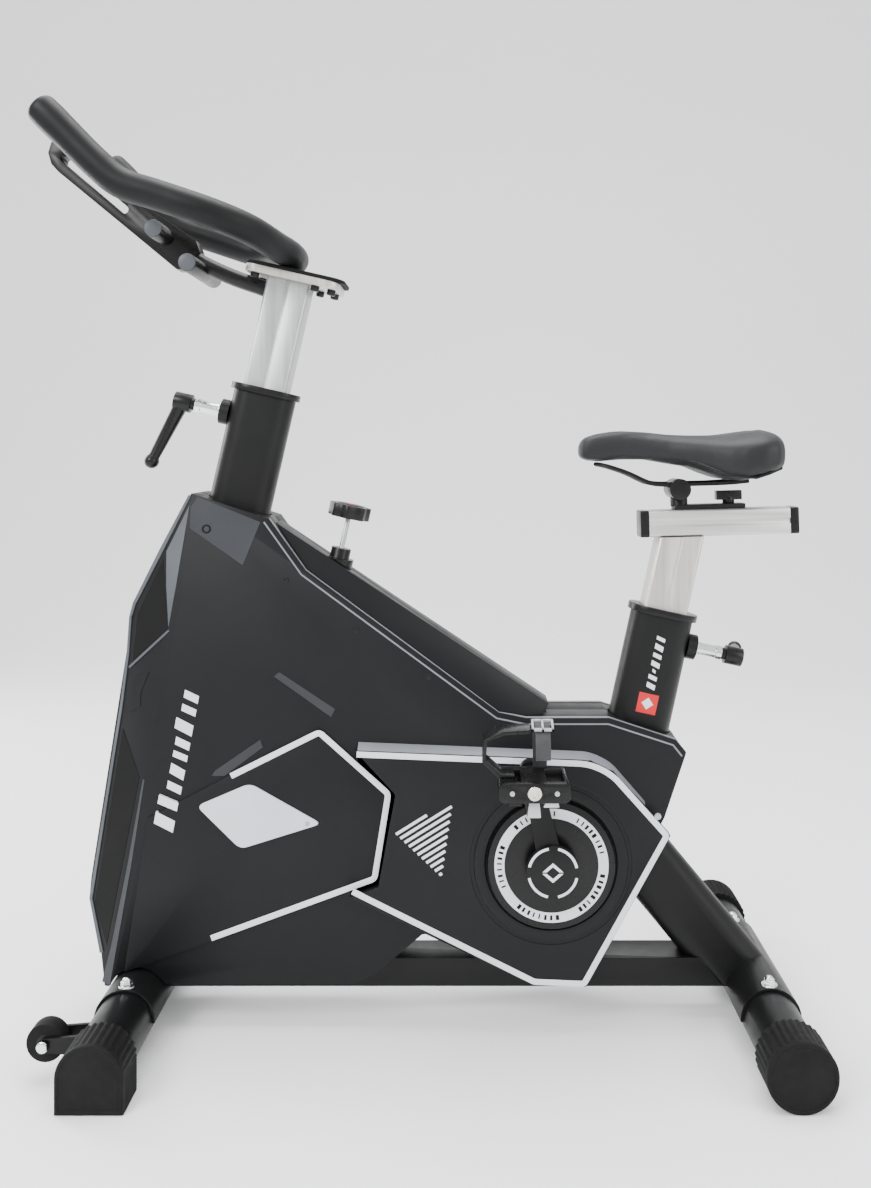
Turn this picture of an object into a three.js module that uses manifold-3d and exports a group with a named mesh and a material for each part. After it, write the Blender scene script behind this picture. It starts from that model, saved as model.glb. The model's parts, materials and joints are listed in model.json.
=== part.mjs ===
// Indoor cycling bike in millimetres. +Z is up, the handlebar is towards -X, the rider's left is -Y.
// The finished group stands on Z = 0 with its box centred on X = 0 and Y = 0.
import * as THREE from "three";
import { mergeVertices } from "three/addons/utils/BufferGeometryUtils.js";
import Module from "manifold-3d";

const wasm = await Module();
wasm.setup();

// Clearances
const gap = 0.3; // between pieces that touch
const slideGap = 0.3; // each side of a sliding post
const spinGap = 0.2; // radial, shaft in bearing
const coverGap = 2; // between a cover and what passes through it

// Stabilisers and transport wheels
const footLength = 540;
const footRadius = 39;
const footWall = 2.5;
const frontFoot = { x: -480.5, z: 45 };
const rearFoot = { x: 432.4, z: 46.8 };
const capLength = 62;
const frontCapHalf = 44.5; // half width of the front foot cap
const rearCapRadius = 46.8;
const rearCapFlutes = 15;
const saddlePlate = { wall: 4, half: 120 };
const rollWheel = { x: -563, z: 54, y: 185, radius: 25.6, width: 24, pin: 5 };
const rollArm = { wall: 5, height: 26 };

// Welded frame
const post = { length: 66, width: 50, radius: 5, wall: 3, groove: 5, depth: 1 }; // handlebar and seat post
const bushWall = { along: 11.5, across: 3.5 }; // room between a post and the tube it slides in
const tubeWall = 2.5;
const tube = { // flat-oval head, seat and strut tube
  length: post.length + 2 * (bushWall.along + tubeWall),
  width: post.width + 2 * (bushWall.across + tubeWall),
  radius: 29,
  wall: tubeWall,
};
const head = { x: -303, z: 933, lean: 12.9 }; // centre of the tube's top end, lean in degrees
const seat = { x: 299, z: 600, lean: 12.4 };
const rail = { width: 60, low: 50, high: 92 };
const strut = { x: 291, z: 207, lean: 39.6, up: 97, down: 260 };
const topTube = { width: 40, height: 60, wall: 2.5, drop: 46 };
const shell = { radius: 24, wall: 6, half: 34 }; // bottom bracket shell
const shellArm = { height: 44, width: 44 };
const shellPost = { front: -20, back: 20, half: 20 }; // under the shell, down to the rail

// Drive
const crank = { x: 125, z: 250, length: 145, lean: 12.6, radius: 21, eye: 15, thick: 16, inner: 88 };
const crankAxle = 10; // radius
const hubCap = { radius: 38, thick: 8 };
const crankDisc = { radius: 92, thick: 6, clear: 3 }; // behind the left crank arm, clear of the cover
const podRing = { outer: 112, inner: 96, proud: 3 };
const pulley = { radius: 97, y: -46.5, width: 14, flange: 3 };
const smallPulley = 30;
const belt = { width: 10, thick: 4 };
const wheel = { x: -190, z: 300, radius: 195, rim: 26, rimDepth: 40, web: 10, hub: 30, hubHalf: 19 };
const wheelAxle = 9; // radius
const wheelPlate = { inner: 23, thick: 6, half: 34 };
const pedal = { inner: 122, width: 84, length: 96, height: 26, axle: 6, cage: 64 };

// Posts, rail and saddle
const barPost = { low: -230, high: 175 }; // along the head tube from its top end
const seatPost = { low: -210 };
const bush = { lip: 10, overhang: 5.5, depth: 110 };
const clampScrew = { z: -38, radius: 6, neck: 9, boss: 19, bossLength: 13, out: 118 };
const barPlate = { front: -66, back: 78, half: 46, thick: 11, pad: 5, padBack: 6 };
const bar = { radius: 21.5, half: 155 };
const drawnPad = 191.6; // top of the bar pad along the head line, where the handlebar's points are given
const seatRail = { x: 383, z: 741.3, length: 238, height: 40, width: 42, tilt: 1.56, wall: 3, cap: 13 };
const slider = { front: -66, back: 40, half: 16, height: 7, stub: 13, knobX: 18 };
const tilt = { x: -59, z: 51, radius: 16, half: 27 }; // saddle clamp drum, from the rail's centre
const wire = { radius: 3.5, y: 21, z: 8 };
const saddle = { nose: 171, tail: 472, half: 98, noseHalf: 26 };

// Covers
const cover = { half: 58, wall: 3, chamfer: 0.46 }; // chamfer: depth across over length along
const pod = { face: 75, wall: 3 };
const spine = { top: 28, foot: 50, wall: 3 };

// Resistance knob, along its own leaning line
const brake = { x: -175, z: 757, lean: 12.4, knob: 32, knobHeight: 20, rod: 4, collar: 15, padGap: 4 };

const radians = THREE.MathUtils.degToRad;

// Finishes: colour, roughness, metalness
const finishes = {
  frameBlack: [0x232426, 0.42, 0.3],
  shroudBlack: [0x26282b, 0.5, 0],
  gloss: [0x1b1c1e, 0.3, 0],
  rubber: [0x1c1c1d, 0.85, 0],
  aluminium: [0xc9cbcc, 0.35, 0.9],
  chrome: [0xd5d7d9, 0.15, 1],
  steel: [0x8d9093, 0.4, 0.9],
  castIron: [0x4c4e51, 0.55, 0.8],
  badge: [0xccd3db, 0.35, 0.4],
  leather: [0x1a1b1f, 0.55, 0],
};

// ---- geometry helpers ----

// Closed, merged and outward-facing copy of a geometry, as a solid
function toSolid(geometry) {
  const bare = new THREE.BufferGeometry();
  bare.setAttribute("position", geometry.getAttribute("position").clone());
  if (geometry.index) bare.setIndex(geometry.index.clone());
  const merged = mergeVertices(bare, 1e-4);
  const spot = merged.getAttribute("position").array;
  const corners = [];
  let volume = 0;
  for (let i = 0; i < merged.index.count; i += 3) {
    const [a, b, c] = [0, 1, 2].map((k) => merged.index.getX(i + k));
    if (a === b || b === c || c === a) continue;
    corners.push([a, b, c]);
    const [p, q, r] = [a, b, c].map((n) => new THREE.Vector3().fromArray(spot, 3 * n));
    volume += p.dot(q.cross(r));
  }
  const turned = volume < 0 ? corners.map(([a, b, c]) => [a, c, b]) : corners;
  return new wasm.Manifold(new wasm.Mesh({
    numProp: 3,
    vertProperties: new Float32Array(spot),
    triVerts: new Uint32Array(turned.flat()),
  }));
}

function toGeometry(solid) {
  const mesh = solid.getMesh();
  const geometry = new THREE.BufferGeometry();
  geometry.setAttribute("position", new THREE.BufferAttribute(new Float32Array(mesh.vertProperties), 3));
  geometry.setIndex(new THREE.BufferAttribute(new Uint32Array(mesh.triVerts), 1));
  return geometry;
}

function join(...shapes) {
  return toGeometry(shapes.map(toSolid).reduce((whole, next) => whole.add(next)));
}

function cut(body, ...tools) {
  return toGeometry(tools.map(toSolid).reduce((whole, tool) => whole.subtract(tool), toSolid(body)));
}

function common(first, second) {
  return toGeometry(toSolid(first).intersect(toSolid(second)));
}

function block(xLow, xHigh, yLow, yHigh, zLow, zHigh) {
  const geometry = new THREE.BoxGeometry(xHigh - xLow, yHigh - yLow, zHigh - zLow);
  return geometry.translate((xLow + xHigh) / 2, (yLow + yHigh) / 2, (zLow + zHigh) / 2);
}

// Cylinder, or cone with a second radius, between two points
function rod(start, end, radius, sides = 20, endRadius = radius) {
  const from = new THREE.Vector3(...start);
  const to = new THREE.Vector3(...end);
  const geometry = new THREE.CylinderGeometry(endRadius, radius, from.distanceTo(to), sides);
  const turn = new THREE.Quaternion().setFromUnitVectors(
    new THREE.Vector3(0, 1, 0),
    to.clone().sub(from).normalize(),
  );
  geometry.applyQuaternion(turn);
  return geometry.translate(...from.add(to).multiplyScalar(0.5).toArray());
}

// Disc or drum whose axis runs along Y
function drum(x, z, radius, yLow, yHigh, sides = 28) {
  return rod([x, yLow, z], [x, yHigh, z], radius, sides);
}

function outline(points) {
  return new THREE.Shape(points.map(([x, y]) => new THREE.Vector2(x, y)));
}

// Side outline (x, z) between two Y planes
function slab(shape, yLow, yHigh, curveSegments = 6) {
  const settings = { depth: yHigh - yLow, bevelEnabled: false, curveSegments };
  const geometry = new THREE.ExtrudeGeometry(shape, settings);
  return geometry.rotateX(Math.PI / 2).translate(0, yHigh, 0);
}

// Upright outline (x, y) between two Z planes
function column(shape, zLow, zHigh, curveSegments = 6) {
  const settings = { depth: zHigh - zLow, bevelEnabled: false, curveSegments };
  return new THREE.ExtrudeGeometry(shape, settings).translate(0, 0, zLow);
}

function roundRect(length, width, radius) {
  const [x, y] = [length / 2, width / 2];
  const shape = new THREE.Shape();
  shape.moveTo(-x + radius, -y);
  shape.lineTo(x - radius, -y);
  shape.absarc(x - radius, -y + radius, radius, -Math.PI / 2, 0);
  shape.lineTo(x, y - radius);
  shape.absarc(x - radius, y - radius, radius, 0, Math.PI / 2);
  shape.lineTo(-x + radius, y);
  shape.absarc(-x + radius, y - radius, radius, Math.PI / 2, Math.PI);
  shape.lineTo(-x, -y + radius);
  shape.absarc(-x + radius, -y + radius, radius, Math.PI, 1.5 * Math.PI);
  return shape;
}

// Hollow aluminium section with a shallow groove along the middle of both sides
function extrusion({ length, width, radius, wall, groove, depth }, low, high) {
  const inner = roundRect(length - 2 * wall, width - 2 * wall, Math.max(radius - wall, 1));
  const grooves = [-1, 1].map((side) => {
    const y = (side * width) / 2;
    return block(-groove / 2, groove / 2, y - depth, y + depth, low - 1, high + 1);
  });
  const outer = roundRect(length, width, radius);
  return cut(column(outer, low, high, 3), column(inner, low - 1, high + 1, 3), ...grooves);
}

// Tube along a smooth curve through the given points
function bentTube(points, radius, sides, steps) {
  const path = new THREE.CatmullRomCurve3(points.map((p) => new THREE.Vector3(...p)), false, "centripetal");
  const circle = new THREE.Shape();
  circle.absarc(0, 0, radius, 0, 2 * Math.PI);
  const settings = { steps, extrudePath: path, bevelEnabled: false, curveSegments: sides };
  return new THREE.ExtrudeGeometry(circle, settings);
}

// Leaning line in the side plane: local z runs along it, local x runs to the rear
function leaning({ x, z, lean }) {
  return new THREE.Matrix4().makeTranslation(x, 0, z)
    .multiply(new THREE.Matrix4().makeRotationY(radians(lean)));
}

function placed(geometry, matrix) {
  return geometry.clone().applyMatrix4(matrix);
}

function turnedBack(geometry, matrix) {
  return geometry.clone().applyMatrix4(matrix.clone().invert());
}

function mirrored(geometry, side) {
  return side < 0 ? geometry : toGeometry(toSolid(geometry.clone().scale(1, -1, 1)));
}

// ---- scene graph ----

const bike = new THREE.Group();

function piece(name, geometry, finish, parent = bike) {
  const [color, roughness, metalness] = finishes[finish];
  const mesh = new THREE.Mesh(geometry, new THREE.MeshStandardMaterial({ color, roughness, metalness }));
  mesh.name = name;
  parent.add(mesh);
}

function leaningGroup(line) {
  const group = new THREE.Group();
  group.position.set(line.x, 0, line.z);
  group.rotation.y = radians(line.lean);
  bike.add(group);
  return group;
}

const headGroup = leaningGroup(head);
const seatGroup = leaningGroup(seat);
const railGroup = leaningGroup({ x: seatRail.x, z: seatRail.z, lean: -seatRail.tilt });
const brakeGroup = leaningGroup(brake);
const headLine = leaning(head);
const seatLine = leaning(seat);
const railLine = leaning({ x: seatRail.x, z: seatRail.z, lean: -seatRail.tilt });
const brakeLine = leaning(brake);
const sides = [["left", -1], ["right", 1]];

// ---- outlines shared by neighbouring pieces ----

// Polygon moved inwards (or outwards when distance is negative), corner by corner
function inset(points, distance) {
  const area = points.reduce((sum, [x, y], i) => {
    const [nextX, nextY] = points[(i + 1) % points.length];
    return sum + x * nextY - nextX * y;
  }, 0);
  const turn = Math.sign(area);
  return points.map(([x, y], i) => {
    const before = points.at(i - 1);
    const after = points[(i + 1) % points.length];
    const from = new THREE.Vector2(x - before[0], y - before[1]).normalize();
    const to = new THREE.Vector2(after[0] - x, after[1] - y).normalize();
    const normal = new THREE.Vector2(-from.y - to.y, from.x + to.x).normalize().multiplyScalar(turn);
    const reach = distance / (normal.x * -from.y * turn + normal.y * from.x * turn);
    return [x + normal.x * reach, y + normal.y * reach];
  });
}

const shroudOutline = [
  [-530, 62], [-537, 106], [-560, 182], [-558, 211], [-497, 606], [-490, 629], [-402, 786],
  [-288, 749], [-234, 673], [50, 464], [90, 456], [212, 456], [310, 424], [325, 406],
  [293, 311], [228, 186], [150, 134], [60, 130], [-20, 146], [-63, 139], [-130, 82],
  [-164, 67], [-440, 67],
];
const podOutline = [
  [-160, 413], [183, 399], [216, 383], [299, 290], [176, 70], [99, 73],
  [-168, 199], [-126, 214], [-101, 349],
];
const panelOutline = [[-463, 312], [-213, 442], [-112, 348], [-132, 219], [-498, 86]];
const crease = { x: -396, z: 786, lean: 9.64 }; // line where the side face turns into the front chamfer
const ridgeStart = [-280, 740];
const ridgeEnd = [125, 471];
const ridgeRun = [ridgeEnd[0] - ridgeStart[0], ridgeEnd[1] - ridgeStart[1]];
const ridgeLength = Math.hypot(...ridgeRun);
const ridge = {
  x: ridgeStart[0],
  z: ridgeStart[1],
  lean: THREE.MathUtils.radToDeg(Math.atan2(ridgeRun[0], ridgeRun[1])),
};
const ridgeLine = leaning(ridge);
const strutLine = leaning({ x: strut.x, z: strut.z, lean: -strut.lean });

function ovalTube(line, low, high, extra) {
  const section = roundRect(tube.length + 2 * extra, tube.width + 2 * extra, tube.radius + extra);
  return placed(column(section, low, high, 4), line);
}

function topTubeBody(extra) {
  const high = topTube.height / 2 + extra;
  const wide = topTube.width / 2 + extra;
  return placed(block(topTube.drop - high, topTube.drop + high, -wide, wide, -50, 640), ridgeLine);
}

function railBody(extra, front = frontFoot.x + footRadius, back = rearFoot.x) {
  const half = rail.width / 2 + extra;
  return block(front, back, -half, half, rail.low - extra, rail.high + extra);
}

function footDrum(foot, extra, half = footLength) {
  return drum(foot.x, foot.z, footRadius + extra, -half, half, 28);
}

const headLow = -600; // lower ends of the two oval tubes, along their own lines
const seatLow = -352;
const plateReach = gap + saddlePlate.wall; // outside of a saddle plate, beyond the stabiliser tube

// ---- stabilisers ----

function stabiliserTube(foot) {
  const half = footLength / 2 - 6;
  return cut(
    drum(foot.x, foot.z, footRadius, -half, half, 28),
    drum(foot.x, foot.z, footRadius - footWall, -half - 1, half + 1, 28),
  );
}

// Two arms and a pin for one transport wheel
function rollBracket(side) {
  const y = side * rollWheel.y;
  const inner = rollWheel.width / 2 + 1.5;
  const root = frontFoot.x - footRadius + 7;
  const half = rollArm.height / 2;
  const arm = outline([
    [root, rollWheel.z - half], [root, rollWheel.z + half],
    [rollWheel.x, rollWheel.z + half * 0.7], [rollWheel.x - half * 0.7, rollWheel.z],
    [rollWheel.x, rollWheel.z - half * 0.7],
  ]);
  const arms = [-1, 1].map((cheek) => {
    const near = y + cheek * inner;
    const far = y + cheek * (inner + rollArm.wall);
    return slab(arm, Math.min(near, far), Math.max(near, far));
  });
  const pinHalf = inner + rollArm.wall + 3;
  return [...arms, drum(rollWheel.x, rollWheel.z, rollWheel.pin, y - pinHalf, y + pinHalf, 16)];
}

piece("front_stabiliser", join(stabiliserTube(frontFoot), ...rollBracket(-1), ...rollBracket(1)), "frameBlack");
piece("rear_stabiliser", stabiliserTube(rearFoot), "frameBlack");

function frontCapShape() {
  const shape = new THREE.Shape();
  const [x, z] = [frontFoot.x, frontFoot.z];
  shape.moveTo(x - frontCapHalf + 4, 0);
  shape.lineTo(x + frontCapHalf - 4, 0);
  shape.lineTo(x + frontCapHalf, 4);
  shape.lineTo(x + frontCapHalf, z);
  shape.absarc(x, z, frontCapHalf, 0, Math.PI);
  shape.lineTo(x - frontCapHalf, 4);
  return shape;
}

function rearCapShape() {
  const points = [];
  const steps = rearCapFlutes * 3;
  for (let i = 0; i < steps; i += 1) {
    const angle = (i / steps) * 2 * Math.PI - Math.PI / 2;
    const radius = rearCapRadius - (i % 3 === 1 ? 2.2 : 0);
    points.push([rearFoot.x + radius * Math.cos(angle), rearFoot.z + radius * Math.sin(angle)]);
  }
  return outline(points);
}

for (const [label, side] of sides) {
  const end = footLength / 2;
  const frontCap = cut(
    slab(frontCapShape(), -end, capLength - end, 8),
    footDrum(frontFoot, gap, end - 6 + gap),
  );
  piece(`front_foot_cap_${label}`, mirrored(frontCap, side), "rubber");
  const rearCap = cut(
    slab(rearCapShape(), -end, capLength - end),
    footDrum(rearFoot, gap, end - 6 + gap),
  );
  piece(`rear_foot_cap_${label}`, mirrored(rearCap, side), "rubber");
  const rolling = cut(
    drum(0, 0, rollWheel.radius, -rollWheel.width / 2, rollWheel.width / 2, 28),
    drum(0, 0, rollWheel.pin + spinGap, -rollWheel.width, rollWheel.width, 16),
  );
  const tyre = rolling.translate(rollWheel.x, side * rollWheel.y, rollWheel.z);
  piece(`transport_wheel_${label}`, tyre, "rubber");
}

// ---- welded frame ----

function halfRing(foot) {
  const ring = cut(
    footDrum(foot, plateReach, saddlePlate.half),
    footDrum(foot, gap),
  );
  return cut(ring, block(foot.x - 100, foot.x + 100, -300, 300, foot.z - 100, foot.z - 4));
}

function hollowOval(line, low, high) {
  return cut(ovalTube(line, low, high, 0), ovalTube(line, low - 1, high + 1, -tube.wall));
}

// Threaded boss on the front of an oval tube, and the hole for its screw
function screwAlongX(low, high, radius, around = 16) {
  return rod([low, 0, clampScrew.z], [high, 0, clampScrew.z], radius, around);
}

const bossEnd = tube.length / 2 + clampScrew.bossLength;
const boss = screwAlongX(-bossEnd, 1 - tube.length / 2, clampScrew.boss, 24);
const screwBore = screwAlongX(-bossEnd - 1, 0, clampScrew.radius + gap);
const backwards = new THREE.Matrix4().makeRotationZ(Math.PI);
const legTop = new THREE.Vector3(0, 0, headLow).applyMatrix4(headLine);
const leg = {
  x: legTop.x,
  z: legTop.z,
  lean: THREE.MathUtils.radToDeg(Math.atan2(legTop.x - frontFoot.x, legTop.z - frontFoot.z)),
};
const legLine = leaning(leg);
const headTube = join(
  hollowOval(headLine, headLow, 0),
  placed(boss, headLine),
  ovalTube(headLine, headLow - 4, headLow, 0),
  placed(cut(block(-25, 25, -25, 25, -300, 1), block(-22, 22, -22, 22, -301, -3)), legLine),
);
const headBore = placed(screwBore, headLine);
piece("head_tube", cut(headTube, headBore, footDrum(frontFoot, plateReach + gap)), "frameBlack");

const seatTube = cut(
  join(hollowOval(seatLine, seatLow, 0), placed(placed(boss, backwards), seatLine)),
  placed(placed(screwBore, backwards), seatLine),
);
piece("seat_tube", seatTube, "frameBlack");

const strutTube = cut(
  hollowOval(strutLine, -213, strut.up),
  ovalTube(seatLine, seatLow, 0, gap),
  footDrum(rearFoot, plateReach - 1),
  block(0, 500, -100, 100, -100, rail.low),
);
piece("rear_strut", join(strutTube, halfRing(rearFoot)), "frameBlack");

const railTube = cut(
  join(
    cut(railBody(0), railBody(-2.5, frontFoot.x, rearFoot.x + 1)),
    halfRing(frontFoot),
  ),
  footDrum(frontFoot, gap),
  ovalTube(strutLine, -strut.down, strut.up, gap),
  footDrum(rearFoot, plateReach + gap),
  block(400, 600, -100, 100, 0, 200),
);
piece("bottom_rail", railTube, "frameBlack");

const brakeBore = placed(rod([0, 0, -300], [0, 0, 0], brake.rod + gap, 16), brakeLine);
const topTubeSolid = cut(
  topTubeBody(0),
  topTubeBody(-topTube.wall),
  ovalTube(headLine, headLow, 40, gap),
  ovalTube(seatLine, seatLow, 0, gap),
  brakeBore,
);
piece("top_tube", topTubeSolid, "frameBlack");

// Cross arm back to the strut and the seat tube, and a post down to the rail
const shellReach = 75;
const [armWide, armHigh] = [shellArm.width / 2, shellArm.height / 2];
const postFront = crank.x + shellPost.front;
const postBack = crank.x + shellPost.back;
const shellPostBody = (extra) => block(postFront - extra, postBack + extra,
  -shellPost.half - extra, shellPost.half + extra, rail.high + gap, crank.z);
const shellBody = join(
  drum(crank.x, crank.z, shell.radius, -shell.half, shell.half, 28),
  cut(
    block(crank.x, crank.x + shellReach, -armWide, armWide, crank.z - armHigh, crank.z + armHigh),
    ovalTube(seatLine, seatLow, 0, gap),
    ovalTube(strutLine, -strut.down, strut.up, gap),
  ),
  shellPostBody(0),
);
const shellBore = cut(
  shellBody,
  drum(crank.x, crank.z, crankAxle + spinGap, -60, 60, 24),
  drum(crank.x, crank.z, shell.radius - shell.wall, -shell.half + 12, shell.half - 12, 28),
);
piece("bottom_bracket_shell", shellBore, "frameBlack");

// ---- flywheel and drive ----

for (const [label, side] of sides) {
  const shape = outline([
    [wheel.x - wheelPlate.half, rail.high + gap], [wheel.x + wheelPlate.half, rail.high + gap],
    [wheel.x + wheelPlate.half * 0.6, wheel.z + 30], [wheel.x - wheelPlate.half * 0.6, wheel.z + 30],
  ]);
  const near = side * wheelPlate.inner;
  const far = side * (wheelPlate.inner + wheelPlate.thick);
  const plate = cut(
    slab(shape, Math.min(near, far), Math.max(near, far)),
    drum(wheel.x, wheel.z, wheelAxle + spinGap, -60, 60, 24),
  );
  piece(`flywheel_plate_${label}`, plate, "steel");
}

const rimHalf = wheel.rim / 2;
const webHalf = wheel.web / 2;
const wheelProfile = [
  [wheelAxle + gap, -wheel.hubHalf], [wheel.hub, -wheel.hubHalf], [wheel.hub, -webHalf],
  [wheel.radius - wheel.rimDepth, -webHalf], [wheel.radius - wheel.rimDepth, -rimHalf],
  [wheel.radius - 2, -rimHalf], [wheel.radius, 2 - rimHalf], [wheel.radius, rimHalf - 2],
  [wheel.radius - 2, rimHalf], [wheel.radius - wheel.rimDepth, rimHalf],
  [wheel.radius - wheel.rimDepth, webHalf], [wheel.hub, webHalf], [wheel.hub, wheel.hubHalf],
  [wheelAxle + gap, wheel.hubHalf], [wheelAxle + gap, -wheel.hubHalf],
].map(([r, y]) => new THREE.Vector2(r, y));
const wheelSolid = toGeometry(toSolid(new THREE.LatheGeometry(wheelProfile, 32)));
piece("flywheel", wheelSolid.translate(wheel.x, 0, wheel.z), "castIron");

// Pulley as a flanged drum
function pulleyBody(x, z, radius) {
  const [low, high] = [pulley.y - pulley.width / 2, pulley.y + pulley.width / 2];
  const lip = 2;
  return join(
    drum(x, z, radius, low + lip - 0.5, high - lip + 0.5, 40),
    drum(x, z, radius + pulley.flange, low, low + lip, 40),
    drum(x, z, radius + pulley.flange, high - lip, high, 40),
  );
}

const shaftOut = pulley.y - pulley.width / 2 + 1;
const shaft = join(
  drum(wheel.x, wheel.z, wheelAxle, shaftOut, wheelPlate.inner + wheelPlate.thick + 8, 24),
  pulleyBody(wheel.x, wheel.z, smallPulley),
);
piece("flywheel_shaft", shaft, "steel");

// Open belt round both pulleys, from the two common tangents
function beltLoop(extra) {
  const shape = new THREE.Shape();
  const reach = Math.hypot(crank.x - wheel.x, crank.z - wheel.z);
  const slope = Math.atan2(crank.z - wheel.z, crank.x - wheel.x);
  const open = Math.acos((pulley.radius - smallPulley) / reach);
  shape.absarc(crank.x, crank.z, pulley.radius + extra, slope - Math.PI + open, slope + Math.PI - open);
  shape.absarc(wheel.x, wheel.z, smallPulley + extra, slope + Math.PI - open, slope + Math.PI + open);
  return shape;
}

const beltLow = pulley.y - belt.width / 2;
const beltSolid = cut(
  slab(beltLoop(gap + belt.thick), beltLow, beltLow + belt.width, 10),
  slab(beltLoop(gap), beltLow - 1, beltLow + belt.width + 1, 10),
  drum(crank.x, crank.z, pulley.radius + gap, -100, 0, 40),
  drum(wheel.x, wheel.z, smallPulley + gap, -100, 0, 40),
);
piece("belt", beltSolid, "rubber");

const crankOuter = crank.inner + crank.thick;
const crankShaft = join(
  drum(crank.x, crank.z, crankAxle, -crankOuter, crankOuter, 24),
  pulleyBody(crank.x, crank.z, pulley.radius),
);
piece("crank_axle", crankShaft, "steel");

const discIn = pod.face + crankDisc.clear;
const crankDiscSolid = cut(
  drum(crank.x, crank.z, crankDisc.radius, -discIn - crankDisc.thick, -discIn, 48),
  drum(crank.x, crank.z, crankAxle + gap, -discIn - crankDisc.thick - 1, 1 - discIn, 24),
);
piece("crank_disc", crankDiscSolid, "gloss");

const pedalReach = [crank.length * Math.sin(radians(-crank.lean)), crank.length * Math.cos(radians(crank.lean))];

// Crank arm for the left side; the right one is the same turned by half a turn
function crankArm(up) {
  const [px, pz] = [crank.x + up * pedalReach[0], crank.z + up * pedalReach[1]];
  const along = Math.atan2(pz - crank.z, px - crank.x);
  const offset = (radius, angle) => [radius * Math.cos(along + angle), radius * Math.sin(along + angle)];
  const [hubX, hubZ] = offset(crank.radius - 3, Math.PI / 2);
  const [eyeX, eyeZ] = offset(crank.eye - 2, Math.PI / 2);
  const arm = outline([
    [crank.x + hubX, crank.z + hubZ], [crank.x - hubX, crank.z - hubZ],
    [px - eyeX, pz - eyeZ], [px + eyeX, pz + eyeZ],
  ]);
  const whole = join(
    slab(arm, -crankOuter, -crank.inner),
    drum(crank.x, crank.z, crank.radius, -crankOuter, -crank.inner, 28),
    drum(px, pz, crank.eye, -crankOuter, -crank.inner, 24),
    drum(crank.x, crank.z, hubCap.radius, -crankOuter - hubCap.thick, -crankOuter + 2, 40),
  );
  return cut(
    whole,
    drum(crank.x, crank.z, crankAxle + gap, -crankOuter - gap, 0, 24),
    drum(px, pz, pedal.axle + gap, -crankOuter - 30, 0, 16),
  );
}

// Flat platform with two foot windows, round its axle
function pedalBody(x, z) {
  const outer = -pedal.inner - pedal.width;
  const platform = slab(roundRectAt(x, z, pedal.length, pedal.height, 8), outer, -pedal.inner, 3);
  const windows = [-1, 1].map((end) => {
    const middle = x + end * 29;
    return block(middle - 12, middle + 12, outer + 14, -pedal.inner - 14, z - 40, z + 40);
  });
  return cut(platform, ...windows, drum(x, z, pedal.axle + spinGap, outer - 5, 0, 20));
}

function roundRectAt(x, z, length, height, radius) {
  const shape = roundRect(length, height, radius);
  return outline(shape.getPoints(3).map((p) => [p.x + x, p.y + z]));
}

// Toe cage: a flat band that rises from the front edge and curls back over the foot
function toeCage(x, z) {
  const front = x - pedal.length / 2;
  const base = z + pedal.height / 2 + gap;
  const outside = outline([
    [front, base], [front - 22, base + 22], [front - 20, base + 52], [front + 6, base + pedal.cage],
    [front + 44, base + pedal.cage + 2], [front + 44, base + pedal.cage - 3],
    [front + 8, base + pedal.cage - 5], [front - 15, base + 50], [front - 17, base + 24],
    [front + 5, base + 5], [front + 22, base + 5], [front + 22, base],
  ]);
  return slab(outside, -pedal.inner - 62, -pedal.inner - 22);
}

// Strap: a closed loop of flat webbing over the cage, fixed to the platform's edges
function toeStrap(x, z) {
  const base = z + pedal.height / 2 + gap;
  const [low, high] = [-pedal.inner - pedal.width + 4, -pedal.inner - 4];
  const middle = (low + high) / 2;
  const half = (high - low) / 2;
  const arch = (grow) => {
    const shape = new THREE.Shape();
    shape.moveTo(middle - half + grow, base);
    shape.absellipse(middle, base + 30, half - grow, pedal.cage - 20 - grow, Math.PI, 0, true);
    shape.lineTo(middle + half - grow, base);
    return shape;
  };
  const band = new THREE.ExtrudeGeometry(arch(0), { depth: 20, bevelEnabled: false, curveSegments: 10 });
  const inside = new THREE.ExtrudeGeometry(arch(2.5), { depth: 22, bevelEnabled: false, curveSegments: 10 });
  inside.translate(0, -1, -1);
  const loop = cut(band, inside);
  // outline was (y, z) with depth along x
  const turn = new THREE.Matrix4().set(0, 0, 1, 0, 1, 0, 0, 0, 0, 1, 0, 0, 0, 0, 0, 1);
  return loop.applyMatrix4(turn).translate(x + 2, 0, 0);
}

for (const [label, side] of sides) {
  const up = -side;
  const [px, pz] = [crank.x + up * pedalReach[0], crank.z + up * pedalReach[1]];
  piece(`crank_${label}`, mirrored(crankArm(up), side), "gloss");
  const axleOut = -pedal.inner - pedal.width + 4;
  const axle = join(
    drum(px, pz, pedal.axle, axleOut, -crank.inner - 2, 20),
    drum(px, pz, 11, -pedal.inner + 3, -crankOuter - 1, 16),
  );
  piece(`pedal_axle_${label}`, mirrored(axle, side), "steel");
  piece(`pedal_${label}`, mirrored(pedalBody(px, pz), side), "gloss");
  piece(`toe_cage_${label}`, mirrored(toeCage(px, pz), side), "gloss");
  piece(`toe_strap_${label}`, mirrored(toeStrap(px, pz), side), "leather");
}

// ---- covers ----

const creaseLine = leaning(crease);

// Everything outside the slanted front face on one side, moved inwards by the given depth
function chamferWedge(side, inward) {
  const [reach, spare] = [150, 5];
  const start = (inward + spare) / cover.chamfer;
  const shape = outline([
    [start, side * (cover.half + spare)],
    [-reach, side * (cover.half - inward - cover.chamfer * reach)],
    [-reach, side * 400],
    [start, side * 400],
  ]);
  return placed(column(shape, -900, 200), creaseLine);
}

function shroudSolid(points, half, inward) {
  return cut(slab(outline(points), -half, half), chamferWedge(1, inward), chamferWedge(-1, inward));
}

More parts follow.
